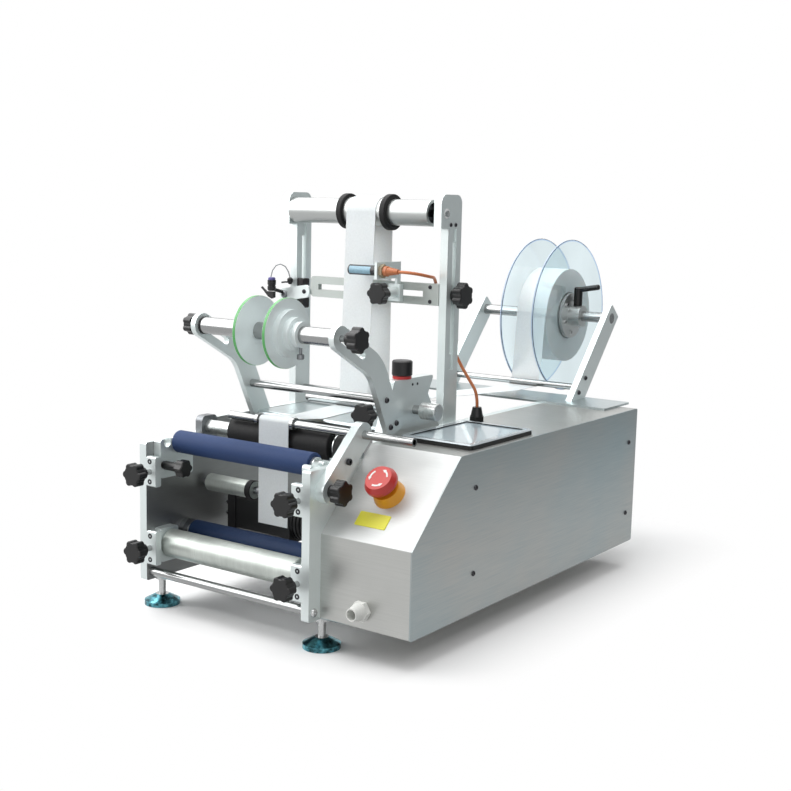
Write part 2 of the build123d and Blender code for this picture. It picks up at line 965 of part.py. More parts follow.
def roller_combs():
    bottom = upper_roller_z - comb_drop
    top = upper_roller_z + comb_rise
    face = outline((slide_front, bottom), (comb_back, bottom), (comb_back, top), (slide_front, top))
    face = fillet(face.vertices(), slide_corner)
    width = 2 * (upper_journal_radius + running_clearance)
    for step in comb_notch_steps:
        y = upper_roller_y + step * comb_notch_pitch
        face -= Pos(y, upper_roller_z) * Circle(width / 2)
        face -= Pos(y, upper_roller_z) * Rectangle(width, comb_drop, align=(Align.CENTER, Align.MIN))
    return slide_pair(face, upper_screw_z)


def adjusting_knob(side, z):
    seat = plate_front - screw_reach
    knob = star_knob(star_knob_radius, screw_radius, screw_tip_y - seat)
    return Pos(screw_x(side), seat, z) * Rot(90, 0, 0) * knob


# Mast
def mast_posts():
    posts = []
    slot_bottom = box_height + post_slot_foot
    slot_top = post_top - post_slot_end
    for x0, bottom in ((left_out, box_height), (right_post_in, box_height - right_post_drop)):
        x1 = x0 + plate_thickness
        body = block(x0, x1, post_front, post_front + post_depth, bottom, post_top)
        half = post_groove_width / 2
        for g0, g1 in ((x0, x0 + post_groove_depth), (x1 - post_groove_depth, x1)):
            body -= block(g0, g1, post_middle - half, post_middle + half, raised_top, post_top)
        slot = clamp_stud_radius + passing_gap
        body -= block(x0, x1, post_middle - slot, post_middle + slot, slot_bottom, slot_top)
        posts.append(body)
    return posts


def mast_top_brackets():
    brackets = []
    back = post_front + post_depth
    face = outline(
        (top_bracket_front, post_top),
        (back, post_top),
        (back, post_top + top_bracket_height),
        (top_bracket_front, post_top + top_bracket_height),
    )
    face = fillet(face.vertices().group_by(Axis.Y)[-1], top_bracket_corner)
    face -= Pos(guide_axis_y, guide_axis_z) * Circle(guide_shaft_radius + running_clearance)
    for x0 in (left_out, right_post_in):
        brackets.append(slab_x(face, x0, x0 + plate_thickness))
    return brackets


def fixed_shafts():
    half = reel_arm_thickness / 2
    return [
        rod(left_out, right_in, guide_axis_y, guide_axis_z, guide_shaft_radius),
        rod(left_reel_arm_x - half, right_reel_arm_x + half, reel_y, reel_z, reel_shaft_radius),
    ]


def collar_edges():
    """X of the two collar faces that hold the strip between them."""
    half = strip_width / 2 + collar_strip_gap
    return mast_strip_x - half, mast_strip_x + half


def guide_roller_tube():
    x0 = left_in + guide_left_gap
    x1 = right_post_in - guide_right_gap
    left, right = collar_edges()
    tube = rod(x0, x1, guide_axis_y, guide_axis_z, guide_tube_radius)
    tube += rod(left, right, guide_axis_y, guide_axis_z, guide_sleeve_radius)
    for e0, e1 in ((x0, x0 + guide_end_depth), (x1 - guide_end_depth, x1)):
        tube -= rod(e0, e1, guide_axis_y, guide_axis_z, guide_end_bore)
    return tube - rod(x0, x1, guide_axis_y, guide_axis_z, guide_shaft_radius + running_clearance)


def guide_collars():
    left, right = collar_edges()
    collars = []
    for x0 in (left - collar_width, right):
        ring = rod(x0, x0 + collar_width, guide_axis_y, guide_axis_z, collar_radius)
        ring = fillet(ring.edges(), rubber_edge)
        collars.append(ring - rod(x0, x0 + collar_width, guide_axis_y, guide_axis_z, guide_tube_radius))
    return collars


# Sensor crossbar, clamped to the right post and free at its left end
def sensor_crossbar():
    right = right_post_in - passing_gap
    back = crossbar_front + crossbar_depth
    half = crossbar_height / 2
    bar = block(crossbar_left, right, crossbar_front, back, crossbar_z - half, crossbar_z + half)
    bar = fillet(bar.edges().filter_by(Axis.Y).group_by(Axis.X)[0], half / 3)
    slot = crossbar_slot_width / 2
    strip_left = mast_strip_x - strip_width / 2
    strip_right = mast_strip_x + strip_width / 2
    slots = (
        (crossbar_left + crossbar_slot_end, strip_left),
        (strip_right, right - crossbar_foot - crossbar_slot_end),
    )
    for s0, s1 in slots:
        bar -= block(s0, s1, crossbar_front, back, crossbar_z - slot, crossbar_z + slot)
    foot_left = right - crossbar_foot
    foot_back = post_middle + half
    bar += block(foot_left, right, crossbar_front, foot_back, crossbar_z - half, crossbar_z + half)
    return bar - rod(foot_left, right, post_middle, crossbar_z, clamp_stud_radius + running_clearance)


def crossbar_knob():
    stud = plate_thickness + crossbar_foot
    knob = star_knob(clamp_knob_radius, clamp_stud_radius, stud)
    return Pos(right_in + passing_gap, post_middle, crossbar_z) * Rot(0, 90, 0) * knob


def carrier_front():
    """Y of the front face of the carrier's plate."""
    return crossbar_front - passing_gap - carrier_plate


def carrier_arm_left():
    return carrier_x - carrier_width / 2 + carrier_arm_offset


def sensor_carrier():
    front = carrier_front()
    back = front + carrier_plate
    x0 = carrier_x - carrier_width / 2
    x1 = carrier_x + carrier_width / 2
    arm_left = carrier_arm_left()
    arm_right = arm_left + carrier_arm_width
    arm_front = sensor_y - sensor_radius - carrier_arm_margin
    arm_bottom = sensor_z - sensor_radius - carrier_arm_margin
    arm_top = crossbar_z + carrier_tab_rise
    seat = front - carrier_boss_length
    body = block(x0, x1, front, back, crossbar_z - carrier_height / 2, crossbar_z + carrier_height / 2)
    body += block(arm_left, arm_right, front, back, crossbar_z, arm_top)
    body += block(arm_left, arm_right, arm_front, back, arm_bottom, arm_top)
    body += bar_y(carrier_x, seat, front, crossbar_z, knob_hub_radius)
    body -= rod(arm_left, arm_right, sensor_y, sensor_z, sensor_radius + running_clearance)
    return body - bar_y(carrier_x, seat, back, crossbar_z, clamp_stud_radius + running_clearance)


def label_sensor():
    left = sensor_right_end - sensor_length
    body = rod(left, sensor_right_end, sensor_y, sensor_z, sensor_radius)
    body = chamfer(body.edges(), sensor_chamfer)
    nut = hexagon_nut(sensor_nut_radius, sensor_nut_width)
    nut_left = carrier_arm_left() + carrier_arm_width + passing_gap
    place = Pos(nut_left, sensor_y, sensor_z) * Rot(0, 90, 0)
    boot = Pos(sensor_right_end, sensor_y, sensor_z) * Rot(0, 90, 0) * Cone(
        boot_base_radius, boot_tip_radius, boot_length, align=upright
    )
    return body + place * nut + boot


def sensor_knob():
    tip = crossbar_front + crossbar_depth + passing_gap
    seat = carrier_front() - carrier_boss_length - passing_gap
    knob = star_knob(star_knob_radius, clamp_stud_radius, tip - seat)
    return Pos(carrier_x, seat, crossbar_z) * Rot(90, 0, 0) * knob


# Cable from the sensor down behind the right post to the gland on the box
def sensor_cable_points():
    sensor_end = Vector(sensor_right_end + boot_length, sensor_y, sensor_z)
    gland_end = Vector(cable_gland_x, cable_gland_y, box_height + gland_height)
    upper = [sensor_end + Vector(*step) for step in cable_upper_steps]
    lower = [gland_end + Vector(*step) for step in cable_lower_steps]
    return [sensor_end, *upper, *lower, gland_end]


def cord_radii(points):
    """Largest arc at each corner of a route that its two runs leave room for."""
    radii = []
    for a, b, c in zip(points, points[1:], points[2:]):
        before = b - a
        after = c - b
        half_turn = math.radians(before.get_angle(after)) / 2
        radii.append(cord_run_share * min(before.length, after.length) / math.tan(half_turn))
    return radii


def sensor_cable():
    points = sensor_cable_points()
    radii = cord_radii(points)
    print("sensor cable radii", [round(r, 1) for r in radii])
    path = FilletPolyline(*points, radius=radii)
    section = Plane(origin=points[0], x_dir=(0, 1, 0), z_dir=path % 0) * Circle(cable_radius)
    cable = sweep(section, path=path)
    print("sensor cable volume", round(cable.volume), "section by length", round(section.area * path.length))
    return cable


# Rewinder
def arm_line(width):
    """Bent arm of one width with a round tip, as a face in Y and Z."""
    foot = (rewind_foot_y, box_height + rewind_foot_rise)
    elbow = (rewind_elbow_y, box_height + rewind_elbow_rise)
    line = FilletPolyline(foot, elbow, (rewind_y, rewind_z), radius=rewind_elbow_radius)
    return trace(line, line_width=width) + Pos(rewind_y, rewind_z) * Circle(width / 2)


def rewind_arms():
    face = arm_line(rewind_arm_width)
    lean = math.degrees(math.atan2(rewind_elbow_rise - rewind_rise, rewind_elbow_y - rewind_y))
    slot_shift = rewind_slot_length / 2
    slot = Pos(rewind_y, rewind_z) * Rot(0, 0, lean) * Pos(slot_shift, 0) * SlotCenterToCenter(
        rewind_slot_length, rewind_slot_width
    )
    face -= slot
    arms = []
    for x0 in (platform_left - rewind_arm_thickness, right_out):
        arms.append(slab_x(face, x0, x0 + rewind_arm_thickness))
    return arms


def rewind_tube():
    x0 = platform_left + passing_gap
    x1 = right_out - passing_gap
    tube = rod(x0, x1, rewind_y, rewind_z, rewind_tube_radius)
    return tube - rod(x0, x1, rewind_y, rewind_z, rewind_rod_radius + running_clearance)


def rewind_discs():
    discs = []
    for x0, direction in ((left_rewind_disc_x, -1), (right_rewind_disc_x, 1)):
        x1 = x0 + direction * rewind_disc_thickness
        body = rod(min(x0, x1), max(x0, x1), rewind_y, rewind_z, rewind_disc_radius)
        for radius in rewind_hub_radii:
            x2 = x1 + direction * rewind_hub_step
            body += rod(min(x1, x2), max(x1, x2), rewind_y, rewind_z, radius)
            x1 = x2
        discs.append(body - rod(platform_left, right_out, rewind_y, rewind_z, rewind_tube_radius))
    return discs


def rewind_clamp():
    left = platform_left - rewind_arm_thickness - passing_gap
    right = rewind_right + rewind_rod_overhang
    body = rod(left, right, rewind_y, rewind_z, rewind_rod_radius)
    left_knob = star_knob(rewind_left_knob_radius, rewind_rod_radius, short_hub_height, short_hub_height)
    body += Pos(left, rewind_y, rewind_z) * Rot(0, -90, 0) * left_knob
    knob = star_knob(star_knob_radius, rewind_rod_radius, rewind_rod_overhang / 2)
    return body + Pos(right, rewind_y, rewind_z) * Rot(0, 90, 0) * knob


# Supply reel
def reel_arms():
    foot_z = box_height + base_plate_thickness
    foot_y = box_length - reel_arm_foot_inset
    along = Vector(reel_y - foot_y, reel_z - foot_z).normalized()
    half = reel_arm_width / 2
    side = half / along.Y
    tip_y = reel_y + half * along.X
    tip_z = reel_z + half * along.Y
    face = outline(
        (foot_y - side, foot_z),
        (foot_y + side, foot_z),
        (tip_y + half * along.Y, tip_z - half * along.X),
        (tip_y - half * along.Y, tip_z + half * along.X),
    )
    face = fillet(face.vertices().group_by(Axis.Y)[2:], reel_arm_corner)
    face -= Pos(reel_y, reel_z) * Circle(reel_shaft_radius + running_clearance)
    arms = []
    for x in (left_reel_arm_x, right_reel_arm_x):
        arms.append(slab_x(face, x - reel_arm_thickness / 2, x + reel_arm_thickness / 2))
    return arms


def reel_base_plate():
    plate = block(
        left_out, base_plate_right, base_plate_front, box_length + base_plate_overhang,
        box_height, box_height + base_plate_thickness,
    )
    return fillet(plate.edges().filter_by(Axis.Z), base_plate_corner)


def reel_discs():
    discs = []
    for x0 in (reel_x - reel_half - reel_disc_thickness, reel_x + reel_half):
        x1 = x0 + reel_disc_thickness
        disc = rod(x0, x1, reel_y, reel_z, reel_disc_radius)
        disc = chamfer(disc.edges(), reel_disc_thickness / 4)
        discs.append(disc - rod(x0, x1, reel_y, reel_z, reel_collar_radius))
    return discs


def reel_hub():
    left = reel_x - reel_half
    right = reel_x + reel_half
    bore = reel_shaft_radius + running_clearance
    core = roll_core_radius - seat_clearance
    disc = reel_disc_thickness
    flange = disc + reel_flange_width
    collar = flange + reel_collar_width
    hub = turned(
        reel_y, reel_z,
        (left - flange, bore),
        (left - flange, reel_flange_radius),
        (left - disc, reel_flange_radius),
        (left - disc, reel_collar_radius),
        (left, reel_collar_radius),
        (left, core),
        (right, core),
        (right, reel_collar_radius),
        (right + disc, reel_collar_radius),
        (right + disc, reel_flange_radius),
        (right + flange, reel_flange_radius),
        (right + flange, reel_collar_radius),
        (right + collar, reel_collar_radius),
        (right + collar, bore),
    )
    return hub - lever_stud_bore()


def lever_x():
    return reel_x + reel_half + reel_disc_thickness + reel_flange_width + reel_collar_width / 2


def lever_stud_bore():
    return post(
        lever_x(), reel_y, reel_z + reel_shaft_radius, reel_z + reel_collar_radius,
        lever_stud_radius + running_clearance,
    )


def reel_clamp_lever():
    seat = reel_z + reel_collar_radius + passing_gap
    top = seat + lever_hub_height
    hub = post(lever_x(), reel_y, seat, top, lever_hub_radius)
    hub = chamfer(hub.edges().group_by(Axis.Z)[-1], lever_chamfer)
    stud_end = reel_z + reel_shaft_radius + 2 * passing_gap
    stud = post(lever_x(), reel_y, stud_end, seat, lever_stud_radius)
    grip = Pos(lever_x(), reel_y, top - lever_radius) * Rot(0, lever_tilt, 0) * Cylinder(
        lever_radius, lever_length, align=upright
    )
    return hub + stud + fillet(grip.edges().sort_by(Axis.Z)[-1], lever_radius / 2)


def label_roll():
    half = roll_width / 2
    roll = rod(reel_x - half, reel_x + half, reel_y, reel_z, roll_radius)
    return roll - rod(reel_x - half, reel_x + half, reel_y, reel_z, roll_core_radius)


# Label strip from the reel, over the mast and the platform, to the front
def strip_band(lines, x):
    """Strip of even thickness along a path in Y and Z, centred at x."""
    return slab_x(trace(lines, line_width=strip_thickness), x - strip_width / 2, x + strip_width / 2)


def strip_shift(y0, x0, y1, x1):
    """Flat stretch of strip that moves sideways between two places."""
    half = strip_width / 2
    z = strip_run_z - strip_thickness / 2
    face = Polygon((x0 - half, y0), (x0 + half, y0), (x1 + half, y1), (x1 - half, y1), align=None)
    return Pos(0, 0, z) * extrude(face, amount=strip_thickness, dir=(0, 0, 1))


def label_web():
    roll_line = roll_radius + web_offset
    bar_line = reel_bar_radius + web_offset
    turn_line = turn_bar_radius + web_offset
    top_line = guide_sleeve_radius + web_offset
    peel_line = peel_bar_radius + web_offset
    roll_center = (reel_y, reel_z)
    bar_center = (reel_bar_y, reel_bar_z)
    back_center = (back_turn_bar_y, turn_bar_z)
    front_center = (front_turn_bar_y, turn_bar_z)
    top_center = (guide_axis_y, guide_axis_z)
    peel_center = (peel_bar_y, peel_bar_z)
    off_roll, on_bar = cross_tangent(roll_center, roll_line, bar_center, bar_line, -1)
    reel_run = base_plate_front
    supply = Line(off_roll, on_bar) + arc_about(bar_center, on_bar, (reel_bar_y, strip_run_z), (1, -2))
    supply += Line((reel_bar_y, strip_run_z), (reel_run, strip_run_z))
    off_back, on_top = cross_tangent(back_center, turn_line, top_center, top_line, 1)
    off_top, on_front = cross_tangent(top_center, top_line, front_center, turn_line, -1)
    back_run = 2 * back_turn_bar_y - guide_axis_y
    platform_run = front_turn_bar_y - turn_bar_radius
    mast = Line((back_run, strip_run_z), (back_turn_bar_y, strip_run_z))
    mast += arc_about(back_center, (back_turn_bar_y, strip_run_z), off_back, (-1, -1))
    mast += Line(off_back, on_top)
    mast += arc_about(top_center, on_top, off_top, (0, 1))
    mast += Line(off_top, on_front)
    mast += arc_about(front_center, on_front, (front_turn_bar_y, strip_run_z), (1, -1))
    mast += Line((front_turn_bar_y, strip_run_z), (platform_run, strip_run_z))
    rise = Vector(peel_bar_y - platform_front, peel_bar_z - strip_run_z)
    tilt = math.atan2(rise.Y, rise.X) + math.acos(peel_line / rise.length)
    on_peel = (peel_bar_y - peel_line * math.cos(tilt), peel_bar_z - peel_line * math.sin(tilt))
    off_peel = (peel_bar_y - peel_line, peel_bar_z)
    front = Line((platform_front, strip_run_z), on_peel)
    front += arc_about(peel_center, on_peel, off_peel, (-1, 1))
    front += Line(off_peel, (peel_bar_y - peel_line, strip_end_z))
    web = strip_band(supply, reel_x) + strip_shift(reel_run, reel_x, back_run, mast_strip_x)
    web += strip_band(mast, mast_strip_x)
    web += strip_shift(platform_run, mast_strip_x, platform_front, front_strip_x)
    return web + strip_band(front, front_strip_x)


# Peel arm
def peel_arm():
    line = Line((peel_foot_y, peel_foot_z), (peel_bar_y, peel_bar_z))
    half = peel_arm_width / 2
    face = trace(line, line_width=peel_arm_width) + Pos(peel_bar_y, peel_bar_z) * Circle(half)
    face += Pos(peel_foot_y, peel_foot_z) * Circle(half)
    face -= Pos(peel_bar_y, peel_bar_z) * Circle(peel_bar_radius + running_clearance)
    face -= Pos(peel_foot_y, peel_foot_z) * Circle(screw_radius + running_clearance)
    return slab_x(face, right_out, right_out + peel_arm_thickness)


def peel_bar():
    bar = rod(peel_bar_left, peel_bar_right, peel_bar_y, peel_bar_z, peel_bar_radius)
    bore_end = peel_bar_right - 2 * peel_arm_thickness
    bar -= rod(bore_end, peel_bar_right, peel_bar_y, peel_bar_z, peel_bar_bore)
    half = strip_width / 2 + peel_ring_gap
    for x0 in (front_strip_x - half - peel_ring_width, front_strip_x + half):
        bar += rod(x0, x0 + peel_ring_width, peel_bar_y, peel_bar_z, peel_ring_radius)
    return bar


def peel_knob():
    seat = right_out + peel_arm_thickness + passing_gap
    knob = star_knob(star_knob_radius, screw_radius, peel_arm_thickness)
    return Pos(seat, peel_foot_y, peel_foot_z) * Rot(0, 90, 0) * knob


def brake_knob():
    knob = star_knob(star_knob_radius, screw_radius, plate_thickness + brake_stud_reach)
    seat = brake_seat_y() - brake_stud_reach
    return Pos(middle_of_right_plate(), seat, brake_knob_z) * Rot(90, 0, 0) * knob


def tension_knob():
    collar = Cylinder(tension_knob_radius - tension_collar_step, tension_collar_height, align=upright)
    grip = Cylinder(tension_knob_radius, tension_knob_height, align=upright)
    grip = Pos(0, 0, tension_collar_height) * grip
    grip = chamfer(grip.edges(), tension_chamfer)
    stud = Pos(0, 0, -plate_thickness) * Cylinder(screw_radius, plate_thickness, align=upright)
    place = Pos(middle_of_right_plate(), tension_knob_y, raised_top + passing_gap)
    return place * (collar + grip + stud)


def all_parts():
    """Every node's name with its solid or list of solids."""
    makers = [
        left_side_plate, right_side_plate, tie_bars, label_platform, levelling_feet, control_box,
        box_side_cover, touch_screen_frame, touch_screen_glass, emergency_stop_body,
        emergency_stop_head, cable_glands, control_electronics, upper_roller_core, upper_roller_sleeve,
        drive_roller_shaft, drive_roller_sleeve, traction_roller_shaft, traction_roller_sleeve,
        support_roller, inner_guide_roller, motor_pulley, timing_belt, drive_motor, motor_bracket,
        roller_bearings, adjuster_blocks, support_slides, roller_combs, mast_posts, mast_top_brackets,
        fixed_shafts, guide_roller_tube, guide_collars, sensor_crossbar, crossbar_knob, sensor_carrier,
        label_sensor, sensor_knob, sensor_cable, rewind_arms, rewind_tube, rewind_discs, rewind_clamp,
        reel_arms, reel_base_plate, reel_discs, reel_hub, reel_clamp_lever, label_roll, label_web,
        peel_arm, peel_bar, peel_knob, brake_knob, tension_knob,
    ]
    parts = {maker.__name__: maker() for maker in makers}
    parts["upper_left_knob"] = adjusting_knob(-1, upper_screw_z)
    parts["upper_right_knob"] = adjusting_knob(1, upper_screw_z)
    parts["lower_left_knob"] = adjusting_knob(-1, lower_screw_z)
    parts["lower_right_knob"] = adjusting_knob(1, lower_screw_z)
    return parts


# The footprint's middle: left foot to box cover, front knobs to the reel's back
x_left = (left_out + left_in) / 2 - foot_radius
y_front = plate_front - screw_reach - knob_hub_height - star_knob_height
y_back = reel_y + reel_disc_radius
to_origin = Pos(-x_left / 2, -(y_front + y_back) / 2, ground_clearance)

os.makedirs("parts", exist_ok=True)
for name, shape in all_parts().items():
    solids = shape if isinstance(shape, list) else [shape]
    export_step(Compound(children=[to_origin * solid for solid in solids]), f"parts/{name}.step")
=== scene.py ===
"""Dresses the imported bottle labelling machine: finishes, small fittings, cable and studio."""

import logging
import math
from dataclasses import dataclass, field
from enum import Enum
from typing import Callable, Iterable, Sequence

import bmesh
import bpy
from mathutils import Matrix, Vector


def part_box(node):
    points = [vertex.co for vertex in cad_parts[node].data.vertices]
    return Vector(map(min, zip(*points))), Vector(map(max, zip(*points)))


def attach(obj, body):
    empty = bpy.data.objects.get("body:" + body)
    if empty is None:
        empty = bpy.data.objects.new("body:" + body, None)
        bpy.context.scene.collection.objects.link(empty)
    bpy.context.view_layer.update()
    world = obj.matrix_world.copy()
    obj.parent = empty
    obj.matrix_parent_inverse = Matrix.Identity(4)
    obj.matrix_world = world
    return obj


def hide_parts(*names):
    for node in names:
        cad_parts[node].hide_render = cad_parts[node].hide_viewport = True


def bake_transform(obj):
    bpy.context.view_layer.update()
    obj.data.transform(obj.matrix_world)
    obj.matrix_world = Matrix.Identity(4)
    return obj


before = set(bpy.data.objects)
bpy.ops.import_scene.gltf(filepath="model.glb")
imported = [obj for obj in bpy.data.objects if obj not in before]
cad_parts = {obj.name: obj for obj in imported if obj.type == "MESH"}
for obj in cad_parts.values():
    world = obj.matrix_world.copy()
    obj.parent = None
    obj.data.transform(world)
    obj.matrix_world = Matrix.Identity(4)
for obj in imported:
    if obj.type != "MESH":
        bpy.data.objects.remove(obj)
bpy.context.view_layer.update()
LOG = logging.getLogger("labelling_machine")
MM = 0.001
MICRON = 0.000001
Pair = tuple[float, float]
Point = tuple[float, float, float]
Colour = tuple[float, float, float]
Profile = Sequence[Pair]
Ring = Sequence[bmesh.types.BMVert]
Socket = bpy.types.NodeSocket
FaceTest = Callable[[Vector, Vector], bool]


class Side(Enum):
    """The way that a piece or a face looks."""

    RIGHT = (1.0, 0.0, 0.0)
    LEFT = (-1.0, 0.0, 0.0)
    FRONT = (0.0, -1.0, 0.0)
    UP = (0.0, 0.0, 1.0)
    DOWN = (0.0, 0.0, -1.0)

    @property
    def way(self) -> Vector:
        """Returns the side's unit vector."""
        return Vector(self.value)


class Head(Enum):
    """Screw heads used on the machine."""

    BUTTON = "button"
    SOCKET = "socket"
    COUNTERSUNK = "countersunk"


Spot = tuple[Point, Side]


def datum() -> Vector:
    """Returns the corner of the control box that the drawing's sizes are counted from."""
    low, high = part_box("box_side_cover")
    return Vector((high.x, low.y, low.z))


DATUM = datum()


def at(x: float, y: float, z: float) -> Vector:
    """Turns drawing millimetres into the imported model's metres.

    Args:
        x: Millimetres right of the control box's right face.
        y: Millimetres behind the control box's front face.
        z: Millimetres above the control box's bottom.

    Returns:
        The point in the shared frame.
    """
    return DATUM + Vector((x, y, z)) * MM


def drawing(point: Vector) -> Vector:
    """Returns a point of the shared frame in drawing millimetres."""
    return (point - DATUM) / MM


def facing(spot: Vector, side: Side) -> Matrix:
    """Returns a place at a spot whose Z axis points to a side."""
    return Matrix.Translation(spot) @ side.way.to_track_quat("Z", "Y").to_matrix().to_4x4()


def turns(count: int) -> list[float]:
    """Returns evenly spaced angles once round, in radians."""
    return [2 * math.pi * step / count for step in range(count)]


def even(cycles: float) -> Point:
    """Returns the same number of cycles a metre along each axis."""
    return (cycles, cycles, cycles)


def shade(colour: Colour, factor: float) -> Colour:
    """Returns a colour made lighter or darker by a factor, kept within 1."""
    return tuple(min(1.0, c * factor) for c in colour)


class Nodes:
    """A node tree with short calls for the nodes that the materials and the world share."""

    def __init__(self, tree: bpy.types.NodeTree) -> None:
        """Takes the node tree to add to."""
        self.tree = tree

    def add(self, kind: str, **values: object) -> bpy.types.Node:
        """Adds a node.

        Args:
            kind: The node's type.
            values: Socket values or links, with underscores for spaces in socket names.

        Returns:
            The new node.
        """
        node = self.tree.nodes.new(kind)
        for key, value in values.items():
            self.feed(node.inputs[key.replace("_", " ")], value)
        return node

    def feed(self, socket: Socket, value: object) -> None:
        """Links an output to a socket, or sets the socket's own value.

        Args:
            socket: The input.
            value: Another node's output, or a plain value.
        """
        if isinstance(value, Socket):
            self.tree.links.new(value, socket)
        else:
            socket.default_value = value

    def math(self, operation: str, first: object, second: object = 0.0) -> Socket:
        """Calculates with two values.

        Args:
            operation: The calculation's name.
            first: A socket or a number.
            second: A socket or a number.

        Returns:
            The result's socket.
        """
        node = self.tree.nodes.new("ShaderNodeMath")
        node.operation = operation
        self.feed(node.inputs[0], first)
        self.feed(node.inputs[1], second)
        return node.outputs[0]

    def mix(self, share: Socket, *shaders: Socket) -> Socket:
        """Mixes two shaders.

        Args:
            share: How much of the second shows.
            shaders: The first and the second.

        Returns:
            The mixed shader's socket.
        """
        node = self.add("ShaderNodeMixShader", Fac=share)
        for socket, shader in zip(node.inputs[1:], shaders):
            self.feed(socket, shader)
        return node.outputs[0]

    def seen(self) -> Socket:
        """Finds out whether a surface is looked at, rather than lit from.

        Returns:
            A socket with 1 for camera, mirrored and transmitted rays, and 0 for others.
        """
        path = self.add("ShaderNodeLightPath")
        share = path.outputs["Is Camera Ray"]
        for name in ("Is Glossy Ray", "Is Transmission Ray"):
            share = self.math("MAXIMUM", share, path.outputs[name])
        return share


class Graph(Nodes):
    """A new material's node tree."""

    def __init__(self, name: str) -> None:
        """Starts a material.

        Args:
            name: The material's name.
        """
        self.material = bpy.data.materials.new(name)
        self.material.use_nodes = True
        super().__init__(self.material.node_tree)
        self.shader = self.tree.nodes["Principled BSDF"]
        self.surface = self.tree.nodes["Material Output"].inputs[0]
        self.place = self.add("ShaderNodeTexCoord").outputs["Object"]

    def set(self, **values: object) -> None:
        """Sets or links sockets of the main shader, with underscores for spaces."""
        for key, value in values.items():
            self.feed(self.shader.inputs[key.replace("_", " ")], value)

    def noise(self, scale: Point, detail: float) -> Socket:
        """Adds noise over the object's coordinates.

        Args:
            scale: Cycles a metre along each axis.
            detail: Octaves.

        Returns:
            A socket with values between 0 and 1.
        """
        stretched = self.add("ShaderNodeMapping", Vector=self.place, Scale=scale).outputs[0]
        return self.add("ShaderNodeTexNoise", Vector=stretched, Scale=1.0, Detail=detail).outputs[0]

    def span(self, value: Socket, source: Pair, target: Pair = (0.0, 1.0)) -> Socket:
        """Maps a value from one range to another, clamped.

        Args:
            value: The socket to map.
            source: The range that it comes from.
            target: The range that it goes to.

        Returns:
            The mapped value's socket.
        """
        ends = dict(zip(("From_Min", "From_Max", "To_Min", "To_Max"), (*source, *target)))
        return self.add("ShaderNodeMapRange", Value=value, **ends).outputs[0]

    def blend(self, share: Socket, first: object, second: object) -> Socket:
        """Mixes two colours.

        Args:
            share: How much of the second shows.
            first: A colour or a socket.
            second: A colour or a socket.

        Returns:
            The mixed colour's socket.
        """
        node = self.tree.nodes.new("ShaderNodeMix")
        node.data_type = "RGBA"
        self.feed(node.inputs[0], share)
        # Inputs 6 and 7 and output 2 are the Mix node's colours.
        for socket, colour in ((node.inputs[6], first), (node.inputs[7], second)):
            self.feed(socket, colour if isinstance(colour, Socket) else (*colour, 1.0))
        return node.outputs[2]

    def axis(self, letter: str) -> Socket:
        """Returns the object's X, Y or Z coordinate in metres."""
        return self.add("ShaderNodeSeparateXYZ", Vector=self.place).outputs[letter]

    def bump(self, height: Socket, depth: float, strength: float) -> None:
        """Puts a height on the main shader's normal, with its depth in micrometres."""
        node = self.add("ShaderNodeBump", Height=height, Distance=depth * MICRON, Strength=strength)
        self.set(Normal=node.outputs[0])

    def show(self, shader: Socket) -> None:
        """Makes a shader the material's surface."""
        self.feed(self.surface, shader)


PATCHES = (0.3, 0.7)
GRAINS = (0.25, 0.75)
ROUGHNESS_SWING = (0.85, 1.2)


@dataclass(frozen=True)
class Finish:
    """A surface with a mottled colour and a fine grain.

    Grain and patches are in cycles a metre, and the grain's depth in micrometres. The slot names the record's
    material slot for a fitting in the finish; nothing in this script reads it.
    """

    name: str
    colour: Colour
    roughness: float
    metallic: float = 0.0
    grain: Point = even(700.0)
    depth: float = 30.0
    mottle: float = 0.08
    coat: float = 0.0
    patch: float = 14.0
    specular: float = 0.5
    tint: Colour | None = None
    slot: str = ""
    detail: float = 4.0
    patch_detail: float = 3.0
    wear: Pair = (0.3, 0.75)
    wear_share: Pair = (0.0, 0.5)
    relief: float = 0.6

    def material(self) -> bpy.types.Material:
        """Makes the finish's material, or finds it.

        Returns:
            The material, which every piece in this finish shares.
        """
        known = bpy.data.materials.get(self.name)
        if known is not None:
            return known
        graph = Graph(self.name)
        graph.set(Metallic=self.metallic, Coat_Weight=self.coat, Specular_IOR_Level=self.specular)
        self.paint(graph)
        return graph.material

    def swing(self) -> Pair:
        """Returns the lowest and the highest roughness of the grain."""
        return tuple(min(1.0, self.roughness * share) for share in ROUGHNESS_SWING)

    def paint(self, graph: Graph) -> None:
        """Fills the node tree: mottled colour, roughness and bump.

        Args:
            graph: The material's node tree.
        """
        grain = graph.noise(self.grain, self.detail)
        patches = graph.span(graph.noise(even(self.patch), self.patch_detail), PATCHES)
        other = self.tint or shade(self.colour, 1 + self.mottle)
        tone = graph.blend(patches, shade(self.colour, 1 - self.mottle), other)
        worn = graph.span(grain, self.wear, self.wear_share)
        graph.set(Base_Color=graph.blend(worn, tone, shade(self.colour, 1 - 2 * self.mottle)))
        graph.set(Roughness=graph.span(grain, GRAINS, self.swing()))
        graph.bump(grain, self.depth, self.relief)


